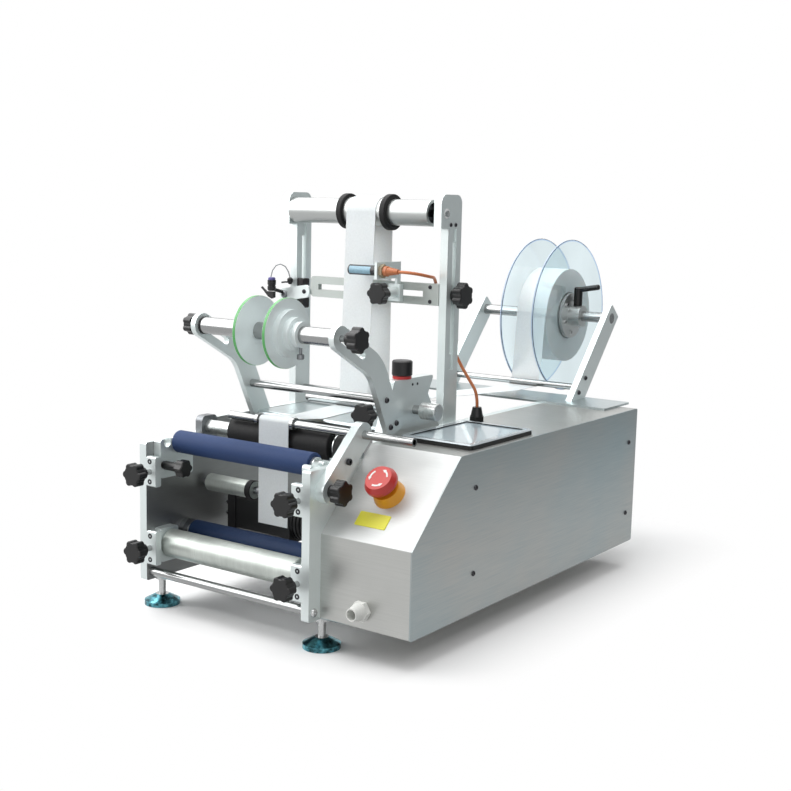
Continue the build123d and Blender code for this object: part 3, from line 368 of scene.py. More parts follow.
@dataclass(frozen=True)
class ClearPlastic(Finish):
    """A clear disc about an axis along X, whose cut edge gathers colour at its rim."""

    center: Point = (0.0, 0.0, 0.0)
    rim_radius: float = 0.12
    rim_band: Pair = (0.0035, 0.0005)
    rim_colour: Colour = (0.1, 0.3, 0.7)
    sheen: float = 1.14
    grain: Point = even(9.0)
    detail: float = 2.0
    smears: Pair = (0.35, 0.7)
    smear_roughness: float = 2.5
    refraction: float = 1.49
    relief: float = 0.3

    def paint(self, graph: Graph) -> None:
        """Fills the node tree: clear face, coloured rim and faint wiping marks.

        Args:
            graph: The material's node tree.
        """
        squares = []
        for letter, middle in zip("YZ", self.center[1:]):
            reach = graph.math("SUBTRACT", graph.axis(letter), middle)
            squares.append(graph.math("MULTIPLY", reach, reach))
        radius = graph.math("SQRT", graph.math("ADD", *squares))
        rim = graph.span(radius, tuple(self.rim_radius - inset for inset in self.rim_band))
        smear = graph.noise(self.grain, self.detail)
        face = graph.blend(graph.span(smear, PATCHES), self.colour, shade(self.colour, self.sheen))
        graph.set(Base_Color=graph.blend(rim, face, self.rim_colour))
        rough = (self.roughness, self.roughness * self.smear_roughness)
        graph.set(Roughness=graph.span(smear, self.smears, rough))
        graph.set(IOR=self.refraction, Transmission_Weight=1.0)
        graph.bump(smear, self.depth, self.relief)


@dataclass(frozen=True)
class Paper(Finish):
    """Thin glossy paper."""

    alpha: float = 1.0
    grain: Point = even(400.0)
    detail: float = 5.0
    fibre_shade: float = 0.94
    fibre_roughness: float = 0.12
    translucence: float = 0.1
    relief: float = 0.4

    def paint(self, graph: Graph) -> None:
        """Fills the node tree: fibre mottle, soft sheen and a little light through it.

        Args:
            graph: The material's node tree.
        """
        fibre = graph.noise(self.grain, self.detail)
        tone = graph.blend(graph.span(fibre, PATCHES), self.colour, shade(self.colour, self.fibre_shade))
        rough = (self.roughness, self.roughness + self.fibre_roughness)
        graph.set(Base_Color=tone, Roughness=graph.span(fibre, PATCHES, rough))
        graph.set(Alpha=self.alpha, Subsurface_Weight=self.translucence)
        graph.bump(fibre, self.depth, self.relief)


@dataclass(frozen=True)
class Banded(Finish):
    """A tube whose colour changes along X, with a bare label on its side; places in metres."""

    bands: tuple[tuple[float, Colour], ...] = ()
    label: Pair = (0.0, 0.0)
    label_height: Pair = (0.0, 0.0)
    label_colour: Colour = (0.5, 0.5, 0.5)
    detail: float = 3.0
    wear: Pair = (0.35, 0.8)
    wear_share: Pair = (0.0, 0.35)
    wear_shade: float = 0.6
    relief: float = 0.5

    def paint(self, graph: Graph) -> None:
        """Fills the node tree: one colour after another, the label, and worn grain.

        Args:
            graph: The material's node tree.
        """
        tone: object = self.colour
        for start, colour in self.bands:
            tone = graph.blend(graph.math("GREATER_THAN", graph.axis("X"), start), tone, colour)
        tone = graph.blend(self.inside(graph), tone, self.label_colour)
        grain = graph.noise(self.grain, self.detail)
        worn = graph.span(grain, self.wear, self.wear_share)
        graph.set(Base_Color=graph.blend(worn, tone, shade(self.colour, self.wear_shade)))
        graph.set(Roughness=graph.span(grain, GRAINS, self.swing()))
        graph.bump(grain, self.depth, self.relief)

    def inside(self, graph: Graph) -> Socket:
        """Marks the label.

        Args:
            graph: The material's node tree.

        Returns:
            A socket with 1 inside the label and 0 outside it.
        """
        share: object = 1.0
        for letter, (low, high) in (("X", self.label), ("Z", self.label_height)):
            share = graph.math("MULTIPLY", share, graph.math("GREATER_THAN", graph.axis(letter), low))
            share = graph.math("MULTIPLY", share, graph.math("LESS_THAN", graph.axis(letter), high))
        return share


BRUSH_Y = (1500.0, 18.0, 1500.0)
BRUSH_X = (18.0, 1500.0, 1500.0)
TURNED = (2200.0, 40.0, 40.0)
FINE = even(900.0)
MOULDED = even(500.0)
ORANGE = (0.60, 0.190, 0.070)
BRASS = (0.42, 0.34, 0.22)

# Metals
ANODISED = Finish("pale_anodised", (0.75, 0.815, 0.81), 0.34, 0.5, even(1300.0), 4.0, 0.03,
                  slot="anodised_plate")
CROSSBAR = Finish("milled_crossbar", (0.45, 0.485, 0.465), 0.38, 0.5, BRUSH_X, 4.0, 0.05)
# Darker copy of the pale anodised finish for the left plate's inward faces: painted shade of the machine's
# inside.
SHADED_INSIDE = Finish("inside_face_painted_shade", (0.34, 0.345, 0.345), 0.38, 0.9, BRUSH_Y, 4.0, 0.1, patch=9.0)
BOX_STEEL = Finish("brushed_box_steel", (0.46, 0.465, 0.45), 0.36, 1.0, BRUSH_X, 4.0, 0.07, patch=9.0)
# Lighter, less metallic copy of the box steel for the sloping panel: painted light on the faces that look up
# and forward.
LIT_SLOPE_STEEL = Finish("slope_steel_painted_light", (0.62, 0.635, 0.63), 0.46, 0.4, BRUSH_X, 4.0, 0.06, patch=9.0)
# The side cover is the box's sheet steel, painted darker as shade on the right-hand side; its warm patches
# fall at random.
SHADED_COVER_STEEL = Finish("cover_steel_painted_shade", (0.295, 0.365, 0.385), 0.38, 1.0, BRUSH_Y, 4.0, 0.05,
                     tint=(0.385, 0.372, 0.352), patch=4.5)
PLATFORM_STEEL = Finish("brushed_platform_steel", (0.50, 0.56, 0.57), 0.30, 1.0, BRUSH_Y, 4.0, 0.05)
CHROME = Finish("polished_bar", (0.31, 0.315, 0.315), 0.2, 1.0, TURNED, 0.4, 0.03, slot="chrome")
TURNED_ALUMINIUM = Finish("turned_aluminium", (0.60, 0.62, 0.615), 0.28, 0.85, TURNED, 0.3, 0.03,
                          slot="bright_aluminium")
GUIDE_TUBE = Finish("polished_tube", (0.42, 0.435, 0.43), 0.34, 1.0, TURNED, 0.1, 0.04)
SATIN_ALUMINIUM = Finish("satin_aluminium", (0.54, 0.58, 0.545), 0.4, 0.6, TURNED, 0.4, 0.16, patch=30.0)
DARK_STEEL = Finish("machined_dark_steel", (0.20, 0.21, 0.22), 0.38, 1.0, TURNED, 2.0, slot="dark_steel")
SCREW_STEEL = Finish("blackened_screw", (0.05, 0.05, 0.055), 0.35, 0.9, FINE, 4.0, 0.1, slot="dark_steel")
BRIGHT_SCREW = Finish("bright_screw", (0.48, 0.49, 0.49), 0.26, 1.0, FINE, 4.0, slot="chrome")
HUB_GREY = Finish("turned_hub", (0.50, 0.53, 0.53), 0.34, 0.8, TURNED, 2.0, 0.06)
DISC_GREY = Finish("satin_disc", (0.84, 0.91, 0.91), 0.36, 0.25, TURNED, 1.0, 0.04)
FOOT_TEAL = Finish("plated_foot", (0.11, 0.32, 0.38), 0.2, 1.0, even(160.0), 60.0, 0.92, patch=140.0)

# Rubber and plastic
UPPER_BLUE = Finish("blue_rubber", (0.022, 0.048, 0.135), 0.6, 0.0, FINE, 30.0, 0.1, specular=0.25)
LOWER_BLUE = Finish("dark_blue_rubber", (0.009, 0.027, 0.080), 0.6, 0.0, FINE, 30.0, 0.1, specular=0.25)
BLACK_RUBBER = Finish("matt_black_rubber", (0.009, 0.009, 0.0095), 0.62, 0.0, even(800.0), 40.0, 0.15,
                      specular=0.3, slot="black_rubber")
BLACK_PLASTIC = Finish("moulded_black_plastic", (0.006, 0.006, 0.0065), 0.34, 0.0, MOULDED, 10.0, 0.15,
                       specular=0.4, slot="black_plastic")
MOTOR_BLACK = Finish("satin_black_casing", (0.010, 0.010, 0.011), 0.45, 0.0, MOULDED, 30.0, 0.15)
# Pale top faces of the black screen frame: a painted reflection.
SCREEN_FRAME_REFLECTION = Finish("screen_frame_painted_reflection", (0.40, 0.45, 0.48), 0.22, 0.3, MOULDED, 4.0, 0.06, 0.5)
SCREEN_GLASS = Finish("pale_screen_glass", (0.44, 0.53, 0.58), 0.16, 0.0, even(20.0), 1.0, 0.06, 0.5)
STOP_YELLOW = Finish("orange_yellow_plastic", (0.83, 0.36, 0.012), 0.36, 0.0, MOULDED, 10.0, 0.06, 0.2)
STOP_RED = Finish("moulded_red_plastic", (0.52, 0.026, 0.020), 0.34, 0.0, MOULDED, 10.0, 0.08, 0.15)
SIGN_YELLOW = Finish("yellow_plate", (0.88, 0.85, 0.07), 0.45, 0.0, MOULDED, 10.0, 0.05, slot="stop_yellow")
MARK_WHITE = Finish("white_mark", (0.80, 0.80, 0.78), 0.5, 0.0, MOULDED, 10.0, 0.04, slot="gland_plastic")
WHITE_NYLON = Finish("white_nylon", (0.83, 0.84, 0.81), 0.42, 0.0, MOULDED, 20.0, 0.05)
CASE_GREY = Finish("instrument_case", (0.2, 0.21, 0.22), 0.5, 0.0, MOULDED)
ORANGE_SHEATH = Finish("orange_sheath", ORANGE, 0.45, 0.0, even(700.0), 20.0, 0.12, slot="cable_orange")
GREEN_RIM = Finish("green_disc_rim", (0.10, 0.43, 0.12), 0.35, 0.0, MOULDED, 10.0, 0.1,
                   slot="bright_aluminium")
RED_RING = Finish("red_ring", (0.55, 0.03, 0.03), 0.35, 0.0, MOULDED, 10.0)
VIOLET_RING = Finish("violet_ring", (0.10, 0.085, 0.30), 0.35, 0.0, MOULDED, 10.0, slot="upper_blue")
DISC_EDGE = Finish("disc_cut_edge", (0.50, 0.63, 0.82), 0.3, 0.0, FINE, 4.0)

# Labels
ROLL_PAPER = Paper("label_roll_paper", (0.90, 0.92, 0.92), 0.5)
# The roll's warm side faces, lifted lighter as painted light where they sit in shade.
LIT_ROLL_SIDE = Paper("label_roll_side_painted_light", (0.84, 0.79, 0.76), 0.45)
STRIP_PAPER = Paper("label_strip_paper", (0.90, 0.925, 0.925), 0.35, alpha=0.92)

# How squarely a face has to look a way, as the cosine of its turn from it.
SQUARELY = 0.5
PARTLY = 0.3
# How far, in millimetres, a corner may lie past the level that a face is picked by.
SLACK = 0.1


def coat(finish: Finish, *names: str) -> None:
    """Gives every face of CAD nodes one finish.

    Args:
        finish: The finish.
        names: The CAD nodes.
    """
    for name in names:
        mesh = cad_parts[name].data
        mesh.materials.clear()
        mesh.materials.append(finish.material())
        for face in mesh.polygons:
            face.material_index = 0
        LOG.info("node %s: %s", name, finish.name)


def coat_faces(name: str, finish: Finish, test: FaceTest) -> None:
    """Gives some faces of a CAD node another finish.

    Args:
        name: The CAD node.
        finish: The finish for those faces.
        test: Told a corner, in drawing millimetres, and its face's normal; each corner has to pass.
    """
    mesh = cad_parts[name].data
    mesh.materials.append(finish.material())
    slot = len(mesh.materials) - 1
    for face in mesh.polygons:
        if all(test(drawing(mesh.vertices[corner].co), face.normal) for corner in face.vertices):
            face.material_index = slot


def towards(side: Side) -> FaceTest:
    """Returns a test for faces that look to a side."""
    return lambda spot, normal: normal.dot(side.way) > SQUARELY


def along_x(line: Pair, radius: float) -> FaceTest:
    """Returns a test for corners within a radius of a line along X at a Y and a Z, in millimetres."""
    return lambda spot, normal: math.dist((spot.y, spot.z), line) < radius


def along_y(line: Pair, radius: float) -> FaceTest:
    """Returns a test for corners within a radius of a line along Y at an X and a Z, in millimetres."""
    return lambda spot, normal: math.dist((spot.x, spot.z), line) < radius


class Sculptor:
    """Gathers forms into one mesh, with sizes in millimetres and places in the shared frame."""

    LOBES = 6
    LOBE_STEPS = 10
    LOBE_DIP = 0.09
    LOBE_EDGE = 0.1
    UPRIGHT = 0.001
    MERGE = 0.0000001

    def __init__(self) -> None:
        """Starts an empty mesh."""
        self.mesh = bmesh.new()

    def circle(self, radius: float, height: float, place: Matrix, count: int) -> Ring:
        """Adds corners in a circle about a place's Z axis.

        Args:
            radius: The circle's radius.
            height: Its height on the axis.
            place: Where the axis stands.
            count: How many corners.

        Returns:
            The corners, anticlockwise.
        """
        spots = [(radius * math.cos(turn), radius * math.sin(turn), height) for turn in turns(count)]
        return [self.mesh.verts.new(place @ (Vector(spot) * MM)) for spot in spots]

    def loop(self, corners: Ring) -> list[bmesh.types.BMEdge]:
        """Returns new edges that join corners in a ring."""
        return [self.mesh.edges.new(pair) for pair in zip(corners, [*corners[1:], corners[0]])]

    def skin(self, rings: Sequence[Ring], capped: bool = True) -> None:
        """Joins each ring of corners to the next with faces.

        Args:
            rings: Equal rings, or a single corner where a form closes at its axis.
            capped: Whether the first and the last ring are filled too.
        """
        count = max(len(ring) for ring in rings)
        for lower, upper in zip(rings, rings[1:]):
            for step in range(count):
                after = (step + 1) % count
                corners = [lower[step % len(lower)], lower[after % len(lower)]]
                corners += [upper[after % len(upper)], upper[step % len(upper)]]
                unique = list(dict.fromkeys(corners))
                if len(unique) > 2:
                    self.mesh.faces.new(unique)
        if capped:
            self.mesh.faces.new(reversed(rings[0]))
            self.mesh.faces.new(rings[-1])

    def lathe(self, profile: Profile, place: Matrix, segments: int = 32) -> None:
        """Turns a profile about a place's Z axis.

        Args:
            profile: Radius and height pairs, from bottom to top.
            place: Where the form stands.
            segments: Steps round the axis.
        """
        rings = [self.circle(r, h, place, segments if r else 1) for r, h in profile]
        self.skin(rings, capped=False)

    def ring(self, profile: Profile, place: Matrix, segments: int = 48) -> None:
        """Turns a closed profile, given once round its section, into a ring."""
        self.lathe([*profile, profile[0]], place, segments)

    def prism(self, outline: Profile, height: float, place: Matrix, edge: float) -> None:
        """Raises a flat outline into a plate whose top edge is drawn in.

        Args:
            outline: X and Y pairs, convex.
            height: The plate's thickness.
            place: Where the plate stands.
            edge: How far the top edge is drawn in.
        """
        middle = Vector((sum(x for x, _ in outline), sum(y for _, y in outline))) / len(outline)
        rings = []
        for z, inset in ((0.0, 0.0), (height - edge, 0.0), (height, edge)):
            ring = []
            for corner in outline:
                arm = Vector(corner) - middle
                spot = middle + arm * (1 - inset / arm.length)
                ring.append(self.mesh.verts.new(place @ (Vector((*spot, z)) * MM)))
            rings.append(ring)
        self.skin(rings)

    def star(self, radius: float, height: float, place: Matrix) -> None:
        """Raises a lobed knob head with a drawn-in top edge.

        Args:
            radius: The radius over the lobes.
            height: The head's height.
            place: Where the head stands.
        """
        outline = []
        for turn in turns(self.LOBES * self.LOBE_STEPS):
            reach = radius * (1 - self.LOBE_DIP + self.LOBE_DIP * math.cos(self.LOBES * turn))
            outline.append((reach * math.cos(turn), reach * math.sin(turn)))
        self.prism(outline, height, place, radius * self.LOBE_EDGE)

    def tube(self, path: Sequence[Vector], radius: float, segments: int = 10) -> None:
        """Sweeps a round section along points and caps both ends.

        Args:
            path: Points of the shared frame, in metres.
            radius: The section's radius.
            segments: Steps round the section.
        """
        rings = []
        up = Side.UP.way
        for index, spot in enumerate(path):
            ahead = path[min(index + 1, len(path) - 1)] - path[max(index - 1, 0)]
            ahead.normalize()
            side = up - ahead * up.dot(ahead)
            if side.length < self.UPRIGHT:
                side = Side.RIGHT.way - ahead * ahead.x
            side.normalize()
            up = side
            across = ahead.cross(side)
            arms = [side * math.cos(turn) + across * math.sin(turn) for turn in turns(segments)]
            rings.append([self.mesh.verts.new(spot + arm * radius * MM) for arm in arms])
        self.skin(rings)

    def finish(self, name: str, material: bpy.types.Material, smooth_angle: float = 35.0) -> bpy.types.Object:
        """Closes the mesh and makes an object of it.

        Args:
            name: The piece's name.
            material: The material of the whole piece.
            smooth_angle: Edges flatter than this, in degrees, shade smooth.

        Returns:
            The new object, in the scene.
        """
        bmesh.ops.remove_doubles(self.mesh, verts=self.mesh.verts, dist=self.MERGE)
        bmesh.ops.recalc_face_normals(self.mesh, faces=self.mesh.faces)
        data = bpy.data.meshes.new(name)
        self.mesh.to_mesh(data)
        self.mesh.free()
        data.materials.append(material)
        data.shade_smooth()
        data.set_sharp_from_angle(angle=math.radians(smooth_angle))
        piece = bpy.data.objects.new(name, data)
        bpy.context.scene.collection.objects.link(piece)
        return piece

    def fit(self, name: str, look: Finish, body: str = "frame") -> None:
        """Makes a fitting of the mesh, puts it on a body and reports it.

        Args:
            name: The piece's name.
            look: Its finish, whose material the piece takes.
            body: The CAD body that it rides on.
        """
        piece = self.finish(name, look.material())
        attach(piece, body)
        LOG.info("piece %s on %s", name, body)


@dataclass(frozen=True)
class Fastener:
    """A screw's head with its hexagon recess, sizes in millimetres."""

    radius: float
    height: float
    recess: float
    look: Finish = SCREW_STEEL
    head: Head = Head.BUTTON
    segments: int = 20
    sink: float = 0.1
    recess_depth: float = 0.55

    def profile(self) -> list[Pair]:
        """Draws the head's half section.

        Returns:
            Radius and height pairs from the seat up to the recess.
        """
        r, h = self.radius, self.height
        if self.head is Head.COUNTERSUNK:
            return [(r * 0.55, -h * 0.4), (r, 0.0), (r, 0.25), (r * 0.94, 0.4)]
        if self.head is Head.SOCKET:
            return [(r, -self.sink), (r, h * 0.85), (r * 0.9, h)]
        return [(r, -self.sink), (r * 0.98, h * 0.3), (r * 0.82, h * 0.78), (r * 0.62, h)]

    def place(self, sculptor: Sculptor, stand: Matrix) -> None:
        """Adds one head to a mesh.

        Args:
            sculptor: The mesh.
            stand: Where the head sits, with Z out of the seat.
        """
        outside = self.profile()
        width, top = outside[-1]
        sculptor.lathe([(0.0, outside[0][1]), *outside], stand, self.segments)
        rim = sculptor.circle(width, top, stand, self.segments)
        mouth = sculptor.circle(self.recess, top, stand, 6)
        floor = sculptor.circle(self.recess, top - self.height * self.recess_depth, stand, 6)
        bmesh.ops.bridge_loops(sculptor.mesh, edges=sculptor.loop(rim) + sculptor.loop(mouth))
        sculptor.skin([mouth, floor], capped=False)
        sculptor.mesh.faces.new(floor)

    def fit(self, name: str, spots: Iterable[Spot], body: str = "frame") -> None:
        """Makes one piece of several equal screws.

        Args:
            name: The piece's name.
            spots: Where each stands, in drawing millimetres, and the side it looks to.
            body: The CAD body that they ride on.
        """
        sculptor = Sculptor()
        for spot, side in spots:
            self.place(sculptor, facing(at(*spot), side))
        sculptor.fit(name, self.look, body)


def on_face(x: float, side: Side, places: Sequence[Pair]) -> list[Spot]:
    """Returns screws' spots at Y and Z places on a face at an X."""
    return [((x, *place), side) for place in places]


def both_sides(right: float, left: float, places: Sequence[Pair]) -> list[Spot]:
    """Returns screws' spots at the same Y and Z places on a right-hand and a left-hand face."""
    return on_face(right, Side.RIGHT, places) + on_face(left, Side.LEFT, places)


def rounded(width: float, height: float, radius: float, steps: int = 6) -> list[Pair]:
    """Draws a rounded rectangle about its middle.

    Args:
        width: Its size along X.
        height: Its size along Y.
        radius: Its corners' radius.
        steps: Steps round each corner.

    Returns:
        The outline, anticlockwise.
    """
    outline = []
    for sx, sy, start in ((1, 1, 0), (-1, 1, 90), (-1, -1, 180), (1, -1, 270)):
        for step in range(steps + 1):
            turn = math.radians(start + 90 * step / steps)
            outline.append((sx * (width / 2 - radius) + radius * math.cos(turn),
                            sy * (height / 2 - radius) + radius * math.sin(turn)))
    return outline


@dataclass
class SideFrame:
    """The plates, bars, platform and feet."""

    left_face: float = -423.0
    right_face: float = -134.0
    bar_ends: tuple[Pair, ...] = ((-12.0, 11.0), (330.0, 40.0), (585.0, 40.0))
    bar_screw: Fastener = Fastener(5.5, 3.0, 2.4, BRIGHT_SCREW)
    foot_rim: float = -40.0
    foot_dome: float = -26.0

    def dress(self) -> None:
        """Gives the frame's nodes their finishes."""
        coat(ANODISED, "left_side_plate", "right_side_plate")
        # Painted shade: the left plate's inward faces take a darker copy of its finish.
        coat_faces("left_side_plate", SHADED_INSIDE, towards(Side.RIGHT))
        coat(CHROME, "tie_bars")
        coat(PLATFORM_STEEL, "label_platform")
        coat(FOOT_TEAL, "levelling_feet")
        coat_faces("levelling_feet", BLACK_RUBBER, lambda spot, normal: spot.z < self.foot_rim + SLACK)
        coat_faces("levelling_feet", BRIGHT_SCREW, lambda spot, normal: spot.z > self.foot_dome - SLACK)

    def build(self) -> None:
        """Makes the screws that hold the bars, of which the right plate shows the front one."""
        spots = on_face(self.left_face, Side.LEFT, self.bar_ends)
        spots += on_face(self.right_face, Side.RIGHT, self.bar_ends[:1])
        self.bar_screw.fit("bar_screws", spots)


@dataclass
class ControlBox:
    """The control box with its cover, screen, emergency stop and glands."""

    cover_face: float = 0.0
    cover_screws: tuple[Pair, ...] = ((136.0, 161.0), (136.0, 52.0), (575.0, 156.0), (575.0, 47.0))
    cover_screw: Fastener = Fastener(3.6, 1.8, 1.3)
    slope_angle: float = 44.13
    top_gland_level: float = 200.0
    plate_spot: Point = (-73.0, 22.0, 129.4)
    plate_size: Point = (45.0, 20.0, 1.5)
    plate_depth: float = 0.9
    plate_edge: float = 0.3
    stop_spot: Point = (-69.0, 50.0, 156.5)
    head_top: float = 35.0
    mark_radius: float = 11.5
    mark_half: float = 1.1
    mark_depth: float = 0.35
    mark_turns: Pair = (15.0, 85.0)
    mark_count: int = 3
    mark_steps: int = 14
    mark_shaft: float = 0.68
    mark_barb: float = 2.1
    mark_point: float = 0.1

    def on_slope(self, spot: Point, lift: float = 0.0) -> Matrix:
        """Finds a place on the sloping panel.

        Args:
            spot: A point of the panel, in drawing millimetres.
            lift: Millimetres out of the panel.

        Returns:
            The place, with X to the right and Z out of the panel.
        """
        lean = math.radians(self.slope_angle)
        out = Vector((0.0, -math.sin(lean), math.cos(lean)))
        across = Side.RIGHT.way
        turn = Matrix((across, out.cross(across), out)).transposed().to_4x4()
        return Matrix.Translation(at(*spot) + out * lift * MM) @ turn

    def dress(self) -> None:
        """Gives the box's nodes their finishes."""
        coat(BOX_STEEL, "control_box")
        # Painted light: the sloping panel's faces take a lighter copy of the box steel.
        coat_faces("control_box", LIT_SLOPE_STEEL, lambda spot, normal: normal.z > PARTLY and normal.y < -PARTLY)
        # Painted shade: the side cover is darker than the box's own steel.
        coat(SHADED_COVER_STEEL, "box_side_cover")
        coat(BLACK_PLASTIC, "touch_screen_frame")
        # Painted reflection: the frame's top faces are pale over its black plastic.
        coat_faces("touch_screen_frame", SCREEN_FRAME_REFLECTION, towards(Side.UP))
        coat(SCREEN_GLASS, "touch_screen_glass")
        coat(STOP_YELLOW, "emergency_stop_body")
        coat(STOP_RED, "emergency_stop_head")
        coat(WHITE_NYLON, "cable_glands")
        coat_faces("cable_glands", BLACK_PLASTIC, lambda spot, normal: spot.z > self.top_gland_level)
        coat(CASE_GREY, "control_electronics")

    def build(self) -> None:
        """Makes the cover's screws, the bare yellow plate and the stop's turn marks."""
        self.cover_screw.fit("cover_screws", on_face(self.cover_face, Side.RIGHT, self.cover_screws))
        sculptor = Sculptor()
        plate = rounded(*self.plate_size)
        sculptor.prism(plate, self.plate_depth, self.on_slope(self.plate_spot), self.plate_edge)
        sculptor.fit("yellow_plate", SIGN_YELLOW)
        self.turn_marks()

    def turn_marks(self) -> None:
        """Makes the plain arrows round the stop's head."""
        sculptor = Sculptor()
        base = self.on_slope(self.stop_spot, self.head_top)
        first, last = self.mark_turns
        for mark in range(self.mark_count):
            rows = []
            for step in range(self.mark_steps + 1):
                share = step / self.mark_steps
                turn = math.radians(360 / self.mark_count * mark + first + (last - first) * share)
                wide, top = self.mark_width(share), self.mark_depth
                row = []
                for out, lift in ((-wide, 0.0), (-wide, top), (wide, top), (wide, 0.0)):
                    reach = self.mark_radius + out
                    spot = Vector((reach * math.cos(turn), reach * math.sin(turn), lift)) * MM
                    row.append(sculptor.mesh.verts.new(base @ spot))
                rows.append(row)
            sculptor.skin(rows)
        sculptor.fit("stop_turn_marks", MARK_WHITE, "stop_button")

    def mark_width(self, share: float) -> float:
        """Gives an arrow's shape.

        Args:
            share: How far along the arrow, from 0 to 1.

        Returns:
            Half its width there, in millimetres.
        """
        if share < self.mark_shaft:
            return self.mark_half
        return self.mark_half * self.mark_barb * (1 - share) / (1 - self.mark_shaft) + self.mark_point


@dataclass
class RollerSet:
    """The rollers with their drive and bearings."""

    inner_guide: Pair = (90.0, 117.5)
    inner_spindle: float = 5.5
    collar_left: float = -329.6
    motor_face: float = -384.0
    motor_screws: tuple[Pair, ...] = ((105.0, 89.0), (105.0, 74.0))
    motor_screw: Fastener = Fastener(2.6, 1.8, 1.1, BRIGHT_SCREW)

    def dress(self) -> None:
        """Gives the rollers and the drive their finishes."""
        coat(TURNED_ALUMINIUM, "upper_roller_core", "drive_roller_shaft", "traction_roller_shaft",
             "motor_pulley")
        coat(UPPER_BLUE, "upper_roller_sleeve")
        coat(LOWER_BLUE, "drive_roller_sleeve")
        coat(BLACK_RUBBER, "traction_roller_sleeve", "timing_belt")
        coat(SATIN_ALUMINIUM, "support_roller", "inner_guide_roller")
        coat(MOTOR_BLACK, "drive_motor")
        coat(ANODISED, "motor_bracket")
        coat(DARK_STEEL, "roller_bearings")
        spindle = along_x(self.inner_guide, self.inner_spindle)
        coat_faces("inner_guide_roller", BLACK_RUBBER,
                   lambda spot, normal: spot.x > self.collar_left and not spindle(spot, normal))
        coat_faces("inner_guide_roller", DARK_STEEL, spindle)

    def build(self) -> None:
        """Makes the bright screws in the motor's end."""
        self.motor_screw.fit("motor_screws", on_face(self.motor_face, Side.LEFT, self.motor_screws))


@dataclass
class Adjusters:
    """The blocks, screws, slides and combs."""

    screw_x: Pair = (-404.7, -152.3)
    screw_z: Pair = (149.0, 46.0)
    screw_spread: Pair = (13.5, 16.0)
    block_face: float = -22.0
    block_screw: Fastener = Fastener(3.6, 2.0, 1.5, head=Head.COUNTERSUNK)
    stud_radius: float = 4.4
    clamp_foot: Point = (-398.7, -2.5, 156.0)
    clamp_neck: Profile = ((0.0, -0.2), (5.0, -0.2), (5.0, 3.0), (6.0, 4.0), (6.0, 30.0), (0.0, 30.0))
    clamp_seat: float = 29.8
    clamp_head: Pair = (12.0, 12.0)

    def dress(self) -> None:
        """Gives the adjusters their finishes, with bright studs under black knobs."""
        coat(ANODISED, "adjuster_blocks", "support_slides", "roller_combs")
        for side, x in zip(("left", "right"), self.screw_x):
            for level, z in zip(("upper", "lower"), self.screw_z):
                name = f"{level}_{side}_knob"
                coat(BLACK_PLASTIC, name)
                coat_faces(name, CHROME, along_y((x, z), self.stud_radius))

    def build(self) -> None:
        """Makes the screws in the front of the blocks, and the star knob inside the left comb."""
        spots = []
        for x in self.screw_x:
            for z, spread in zip(self.screw_z, self.screw_spread):
                spots += [((x, self.block_face, z + way * spread), Side.FRONT) for way in (-1, 1)]
        self.block_screw.fit("block_screws", spots)
        sculptor = Sculptor()
        stand = facing(at(*self.clamp_foot), Side.RIGHT)
        sculptor.lathe(self.clamp_neck, stand)
        sculptor.star(*self.clamp_head, stand @ Matrix.Translation((0.0, 0.0, self.clamp_seat * MM)))
        sculptor.fit("comb_clamp_knob", BLACK_PLASTIC, "upper_carriage")


@dataclass
class SensorCable:
    """The orange cable from the label sensor to the gland on the box."""

    diameter: float = 4.4
    route: tuple[Point, ...] = (
        (-194.0, 235.0, 413.0), (-183.0, 235.0, 413.0), (-172.8, 239.4, 412.1), (-165.4, 247.6, 410.4),
        (-162.0, 259.0, 408.2), (-164.0, 272.5, 406.4), (-170.5, 287.5, 405.2), (-177.0, 302.5, 395.5),
        (-179.0, 315.0, 372.0), (-173.0, 321.0, 338.0), (-164.0, 327.0, 309.0), (-151.0, 330.5, 283.0),
        (-136.0, 332.0, 262.0), (-122.0, 332.0, 244.0), (-122.0, 332.0, 225.0),
    )
    clip_index: int = 6
    order: int = 3
    resolution: int = 8
    smooth_angle: float = 60.0

    def line(self) -> list[Vector]:
        """Reads the route's smooth spline.

        Returns:
            Points from the sensor down.
        """
        data = bpy.data.curves.new("cable_route", "CURVE")
        data.dimensions = "3D"
        spline = data.splines.new("NURBS")
        spline.points.add(len(self.route) - 1)
        for point, spot in zip(spline.points, self.route):
            point.co = (*at(*spot), 1.0)
        spline.order_u = self.order
        spline.use_endpoint_u = True
        spline.resolution_u = self.resolution
        holder = bpy.data.objects.new("cable_route", data)
        bpy.context.scene.collection.objects.link(holder)
        bpy.context.view_layer.update()
        mesh = bpy.data.meshes.new_from_object(holder.evaluated_get(bpy.context.evaluated_depsgraph_get()))
        points = [vertex.co.copy() for vertex in mesh.vertices]
        bpy.data.objects.remove(holder)
        bpy.data.meshes.remove(mesh)
        return points

    def build(self) -> None:
        """Makes the cable in two lengths that meet at the crossbar, and hides the imported cable."""
        points = self.line()
        bar = at(*self.route[self.clip_index])
        split = min(range(len(points)), key=lambda i: (points[i] - bar).length)
        spans = (
            ("sensor_cable_upper", points[:split + 1], "crossbar", "sensor_carriage"),
            ("sensor_cable_lower", points[split:], "frame", "crossbar"),
        )
        for name, path, first, second in spans:
            sculptor = Sculptor()
            sculptor.tube(path, self.diameter / 2)
            piece = sculptor.finish(name, ORANGE_SHEATH.material(), self.smooth_angle)
            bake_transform(piece)
            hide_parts("sensor_cable")


